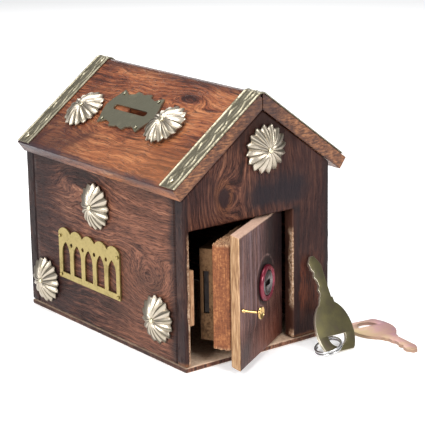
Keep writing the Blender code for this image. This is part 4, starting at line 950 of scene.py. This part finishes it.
# ---------------------------------------------------------------- lock
# A bought cylinder lock: a crimson anodised collar outside, a nickel plug with a flat
# keyway, and a folded sheet case on the block that holds the flat bolt.
KEYWAY = (0.0066, 0.0027, 0.026)
lock_seat = door_frame @ Vector((LOCK_X, 0, LOCK_Z))
paint = Finish("crimson_anodised")
cloud = paint.cloud(4.0, 4.0)
colour = cloud.ramp((0.35, (0.24, 0.018, 0.040)), (0.7, (0.13, 0.009, 0.022)))
collar_finish = paint.close(colour, 0.26 + cloud * 0.16, cloud, 0.00003, metallic=0.55, coat=0.3)
bore, barrel, rim = 0.0063, 0.0082, 0.0089
face, foot, tail = 0.00525, 0.00355, -0.01165
collar = lathe("lock_collar_turned",
               [(bore, tail), (barrel, tail), (barrel, foot), (rim - 0.0001, foot),
                (rim, foot + 0.0002), (rim, face - 0.0010), (rim - 0.0003, face - 0.0005),
                (rim - 0.0007, face - 0.0001), (rim - 0.0011, face), (rim - 0.0015, face - 0.0002),
                (bore + 0.0006, face - 0.0004), (bore + 0.0003, face - 0.0003),
                (bore, face - 0.0005), (bore, tail)], 64, lock_seat, door_out)
dress(collar, "lock_cylinder", "door", collar_finish)

paint = Finish("nickel_plate")
cloud = paint.cloud(3.0, 4.0)
turned = paint.x.maths("SQRT", paint.x * paint.x + paint.y * paint.y)
lines = paint.x.noise(turned / 0.12, 0.0, 0.0, 2.0)
colour = cloud.ramp((0.3, (0.20, 0.175, 0.175)), (0.75, (0.085, 0.075, 0.080)))
nickel = paint.close(colour, 0.20 + cloud * 0.14 + lines * 0.05, lines, 0.00002, metallic=1.0)
plug = lathe("lock_plug_turned",
             [(0.0, face - 0.0008), (0.0042, face - 0.0008), (0.0048, face - 0.0003),
              (0.0054, face - 0.0002), (0.0059, face - 0.0005), (0.0060, face - 0.0009),
              (0.0060, -0.01220), (0.0, -0.01220)], 64, lock_seat, door_out)
across = (door_frame.to_3x3() @ Vector((1, 0, 0))).normalized()
turn = Matrix((across, Vector((0, 0, 1)), door_out)).transposed().to_4x4()
cut_box(plug, KEYWAY, Matrix.Translation(lock_seat) @ turn @ Matrix.Translation((0, 0, face)))
plug.data.shade_smooth()
plug.data.set_sharp_from_angle(angle=math.radians(40))
dress(plug, "lock_plug", "plug", nickel)
paint_nodes(nickel, "lock_cam", *(f"lock_screw_{number}" for number in range(1, 5)))

case_brass = brass("lock_case_brass", (0.120, 0.066, 0.034), (0.028, 0.015, 0.009), tarnish=0.9,
                   rough=0.34)
paint_nodes(case_brass, "lock_case", "lock_cover")

# ---------------------------------------------------------------- keys and ring
# Two stamped flat keys. One leans on the gable with its blade up and carries the split
# ring; the other lies flat on the table. One is plated dark olive, the other rosy.
KEY_LONG, KEY_THICK = 0.0480, 0.0016


def stamped_key(name, place):
    """A flat key with eased edges, a half-moon eye and one bitted side."""
    bow_centre, bow_half, bow_long = 0.0103, 0.0112, 0.0152
    bow_end = 0.0240
    right = []
    for step in range(1, 25):
        along = bow_end * step / 24
        right.append((bow_half * math.sqrt(1 - ((along - bow_centre) / bow_long) ** 2), along))
    left = [(-x, y) for x, y in reversed(right)]
    shoulder = bow_end + 0.0028
    blade_right = [(0.0047, bow_end + 0.0002), (0.0045, shoulder), (0.0037, shoulder),
                   (0.0035, KEY_LONG - 0.0048), (0.0022, KEY_LONG - 0.0024),
                   (0.0006, KEY_LONG), (-0.0016, KEY_LONG)]
    depths = (0.0000, 0.0004, 0.0015, 0.0008, 0.0019, 0.0022, 0.0012, 0.0014, 0.0002)
    blade_left = []
    bitted = KEY_LONG - 0.0035 - shoulder
    for step, depth in enumerate(depths):
        along = KEY_LONG - 0.0035 - bitted * step / (len(depths) - 1)
        blade_left.append((-0.0037 + depth, along + 0.0004))
        blade_left.append((-0.0037 + depth, along - 0.0004))
    foot = [(-0.0085, 0.0007), (-0.0079, 0.0), (0.0079, 0.0), (0.0085, 0.0007)]
    outline = foot + right + blade_right + blade_left + left
    eye = [(0.0056, 0.0082), (0.0054, 0.0078)]
    for step in range(1, 16):
        turn = -math.pi * step / 16
        eye.append((0.0054 * math.cos(turn), 0.0078 + 0.0054 * math.sin(turn)))
    eye += [(-0.0054, 0.0078), (-0.0056, 0.0082)]
    drawing = bpy.data.curves.new(name, "CURVE")
    drawing.dimensions = "2D"
    drawing.fill_mode = "BOTH"
    drawing.extrude = KEY_THICK / 2
    for loop in (outline, eye):
        spline = drawing.splines.new("POLY")
        spline.points.add(len(loop) - 1)
        for point, (x, y) in zip(spline.points, loop):
            point.co = (x, y, 0, 1)
        spline.use_cyclic_u = True
    holder = bpy.data.objects.new(name + "_drawing", drawing)
    bpy.context.scene.collection.objects.link(holder)
    bpy.context.view_layer.update()
    mesh = bpy.data.meshes.new_from_object(
        holder.evaluated_get(bpy.context.evaluated_depsgraph_get()))
    bpy.data.objects.remove(holder, do_unlink=True)
    bm = bmesh.new()
    bm.from_mesh(mesh)
    bmesh.ops.remove_doubles(bm, verts=bm.verts, dist=0.000002)
    bmesh.ops.recalc_face_normals(bm, faces=bm.faces)
    rims = [edge for edge in bm.edges if edge.calc_face_angle(0) > 1.2
            and any(abs(face.normal.z) > 0.9 for face in edge.link_faces)]
    bmesh.ops.bevel(bm, geom=rims, offset=0.00016, segments=2, profile=0.5, affect="EDGES",
                    clamp_overlap=True)
    bpy.data.meshes.remove(mesh)
    return made(name, bm, 30, place)


LEAN, TILT = math.radians(29.2), math.radians(2.0)
stand_y = FRONT - 0.0003 - KEY_LONG * math.sin(LEAN) - KEY_THICK / 2 * math.cos(LEAN)
stand_z = KEY_THICK / 2 * math.sin(LEAN) + 0.0079 * math.sin(TILT) * math.cos(LEAN)
x_way, y_way = Vector((1, 0, 0)), Vector((0, math.sin(LEAN), math.cos(LEAN)))
lean = Matrix((x_way, y_way, x_way.cross(y_way))).transposed().to_4x4()
standing = Matrix.Translation((0.0304, stand_y, stand_z)) @ lean @ Matrix.Rotation(-TILT, 4, "Z")
lying = (Matrix.Translation((0.0648, -0.0678, KEY_THICK / 2))
         @ Matrix.Rotation(math.radians(172.5), 4, "Z") @ Matrix.Rotation(math.pi, 4, "Y"))

paint = Finish("olive_plating")
cloud = paint.cloud(8.0, 3.0)
fine = paint.cloud(0.8, 3.0, 0.6, 2.0)
colour = cloud.ramp((0.3, (0.155, 0.135, 0.060)), (0.55, (0.115, 0.100, 0.055)),
                    (0.75, (0.120, 0.085, 0.068)))
edge = abs(paint.z).rise(0.795, 0.74)
colour = colour.mix((0.78, 0.72, 0.58), edge * 0.9)
olive = paint.close(colour, 0.42 + fine * 0.16 - edge * 0.2, fine, 0.00003, metallic=0.85)
key = stamped_key("key_standing_stamped", standing)
dress(key, "key_standing", "box", olive)

paint = Finish("rosy_plating")
cloud = paint.cloud(9.0, 2.0)
fine = paint.cloud(0.8, 3.0, 0.6, 2.0)
colour = (cloud * 0.6 + (paint.x + 11.0) / 60.0 + 0.02).ramp(
    (0.30, (0.52, 0.38, 0.19)), (0.48, (0.56, 0.34, 0.25)), (0.62, (0.52, 0.27, 0.28)),
    (0.80, (0.38, 0.25, 0.26)))
edge = abs(paint.z).rise(0.795, 0.74)
colour = colour.mix((0.22, 0.14, 0.10), edge * 0.7)
rosy = paint.close(colour, 0.38 + fine * 0.14, fine, 0.00003, metallic=0.6)
key = stamped_key("key_lying_stamped", lying)
dress(key, "key_lying", "box", rosy)

wire = bpy.data.curves.new("split_ring", "CURVE")
wire.dimensions = "3D"
wire.bevel_depth = 0.00052
wire.bevel_resolution = 5
wire.use_fill_caps = True
coil = wire.splines.new("POLY")
count, turns, pitch, ring_radius = 150, 1.9, 2 * 0.00052 + 0.0003, 0.0064
coil.points.add(count - 1)
for index, point in enumerate(coil.points):
    part_way = index / (count - 1)
    angle = 2 * math.pi * turns * part_way + math.pi * 0.6
    point.co = (ring_radius * math.cos(angle), ring_radius * math.sin(angle),
                pitch * turns * (part_way - 0.5), 1)
ring = bpy.data.objects.new("split_ring", wire)
bpy.context.scene.collection.objects.link(ring)
RING_TILT = math.radians(17.0)
lift = ring_radius * math.sin(RING_TILT) + pitch * math.cos(RING_TILT) + 0.00052 + 0.0003
tilted, forward = Vector((math.cos(RING_TILT), 0, math.sin(RING_TILT))), Vector((0, 1, 0))
ring.matrix_world = (Matrix.Translation((0.0304 - 0.0061, stand_y + 0.0022, lift))
                     @ Matrix((tilted, forward, tilted.cross(forward))).transposed().to_4x4())
paint = Finish("ring_steel")
cloud = paint.cloud(2.5, 3.0)
colour = cloud.ramp((0.3, (0.62, 0.62, 0.62)), (0.75, (0.42, 0.42, 0.43)))
ring_steel = paint.close(colour, 0.16 + cloud * 0.14, cloud, 0.00002, metallic=1.0)
dress(ring, "key_ring", "box", ring_steel)
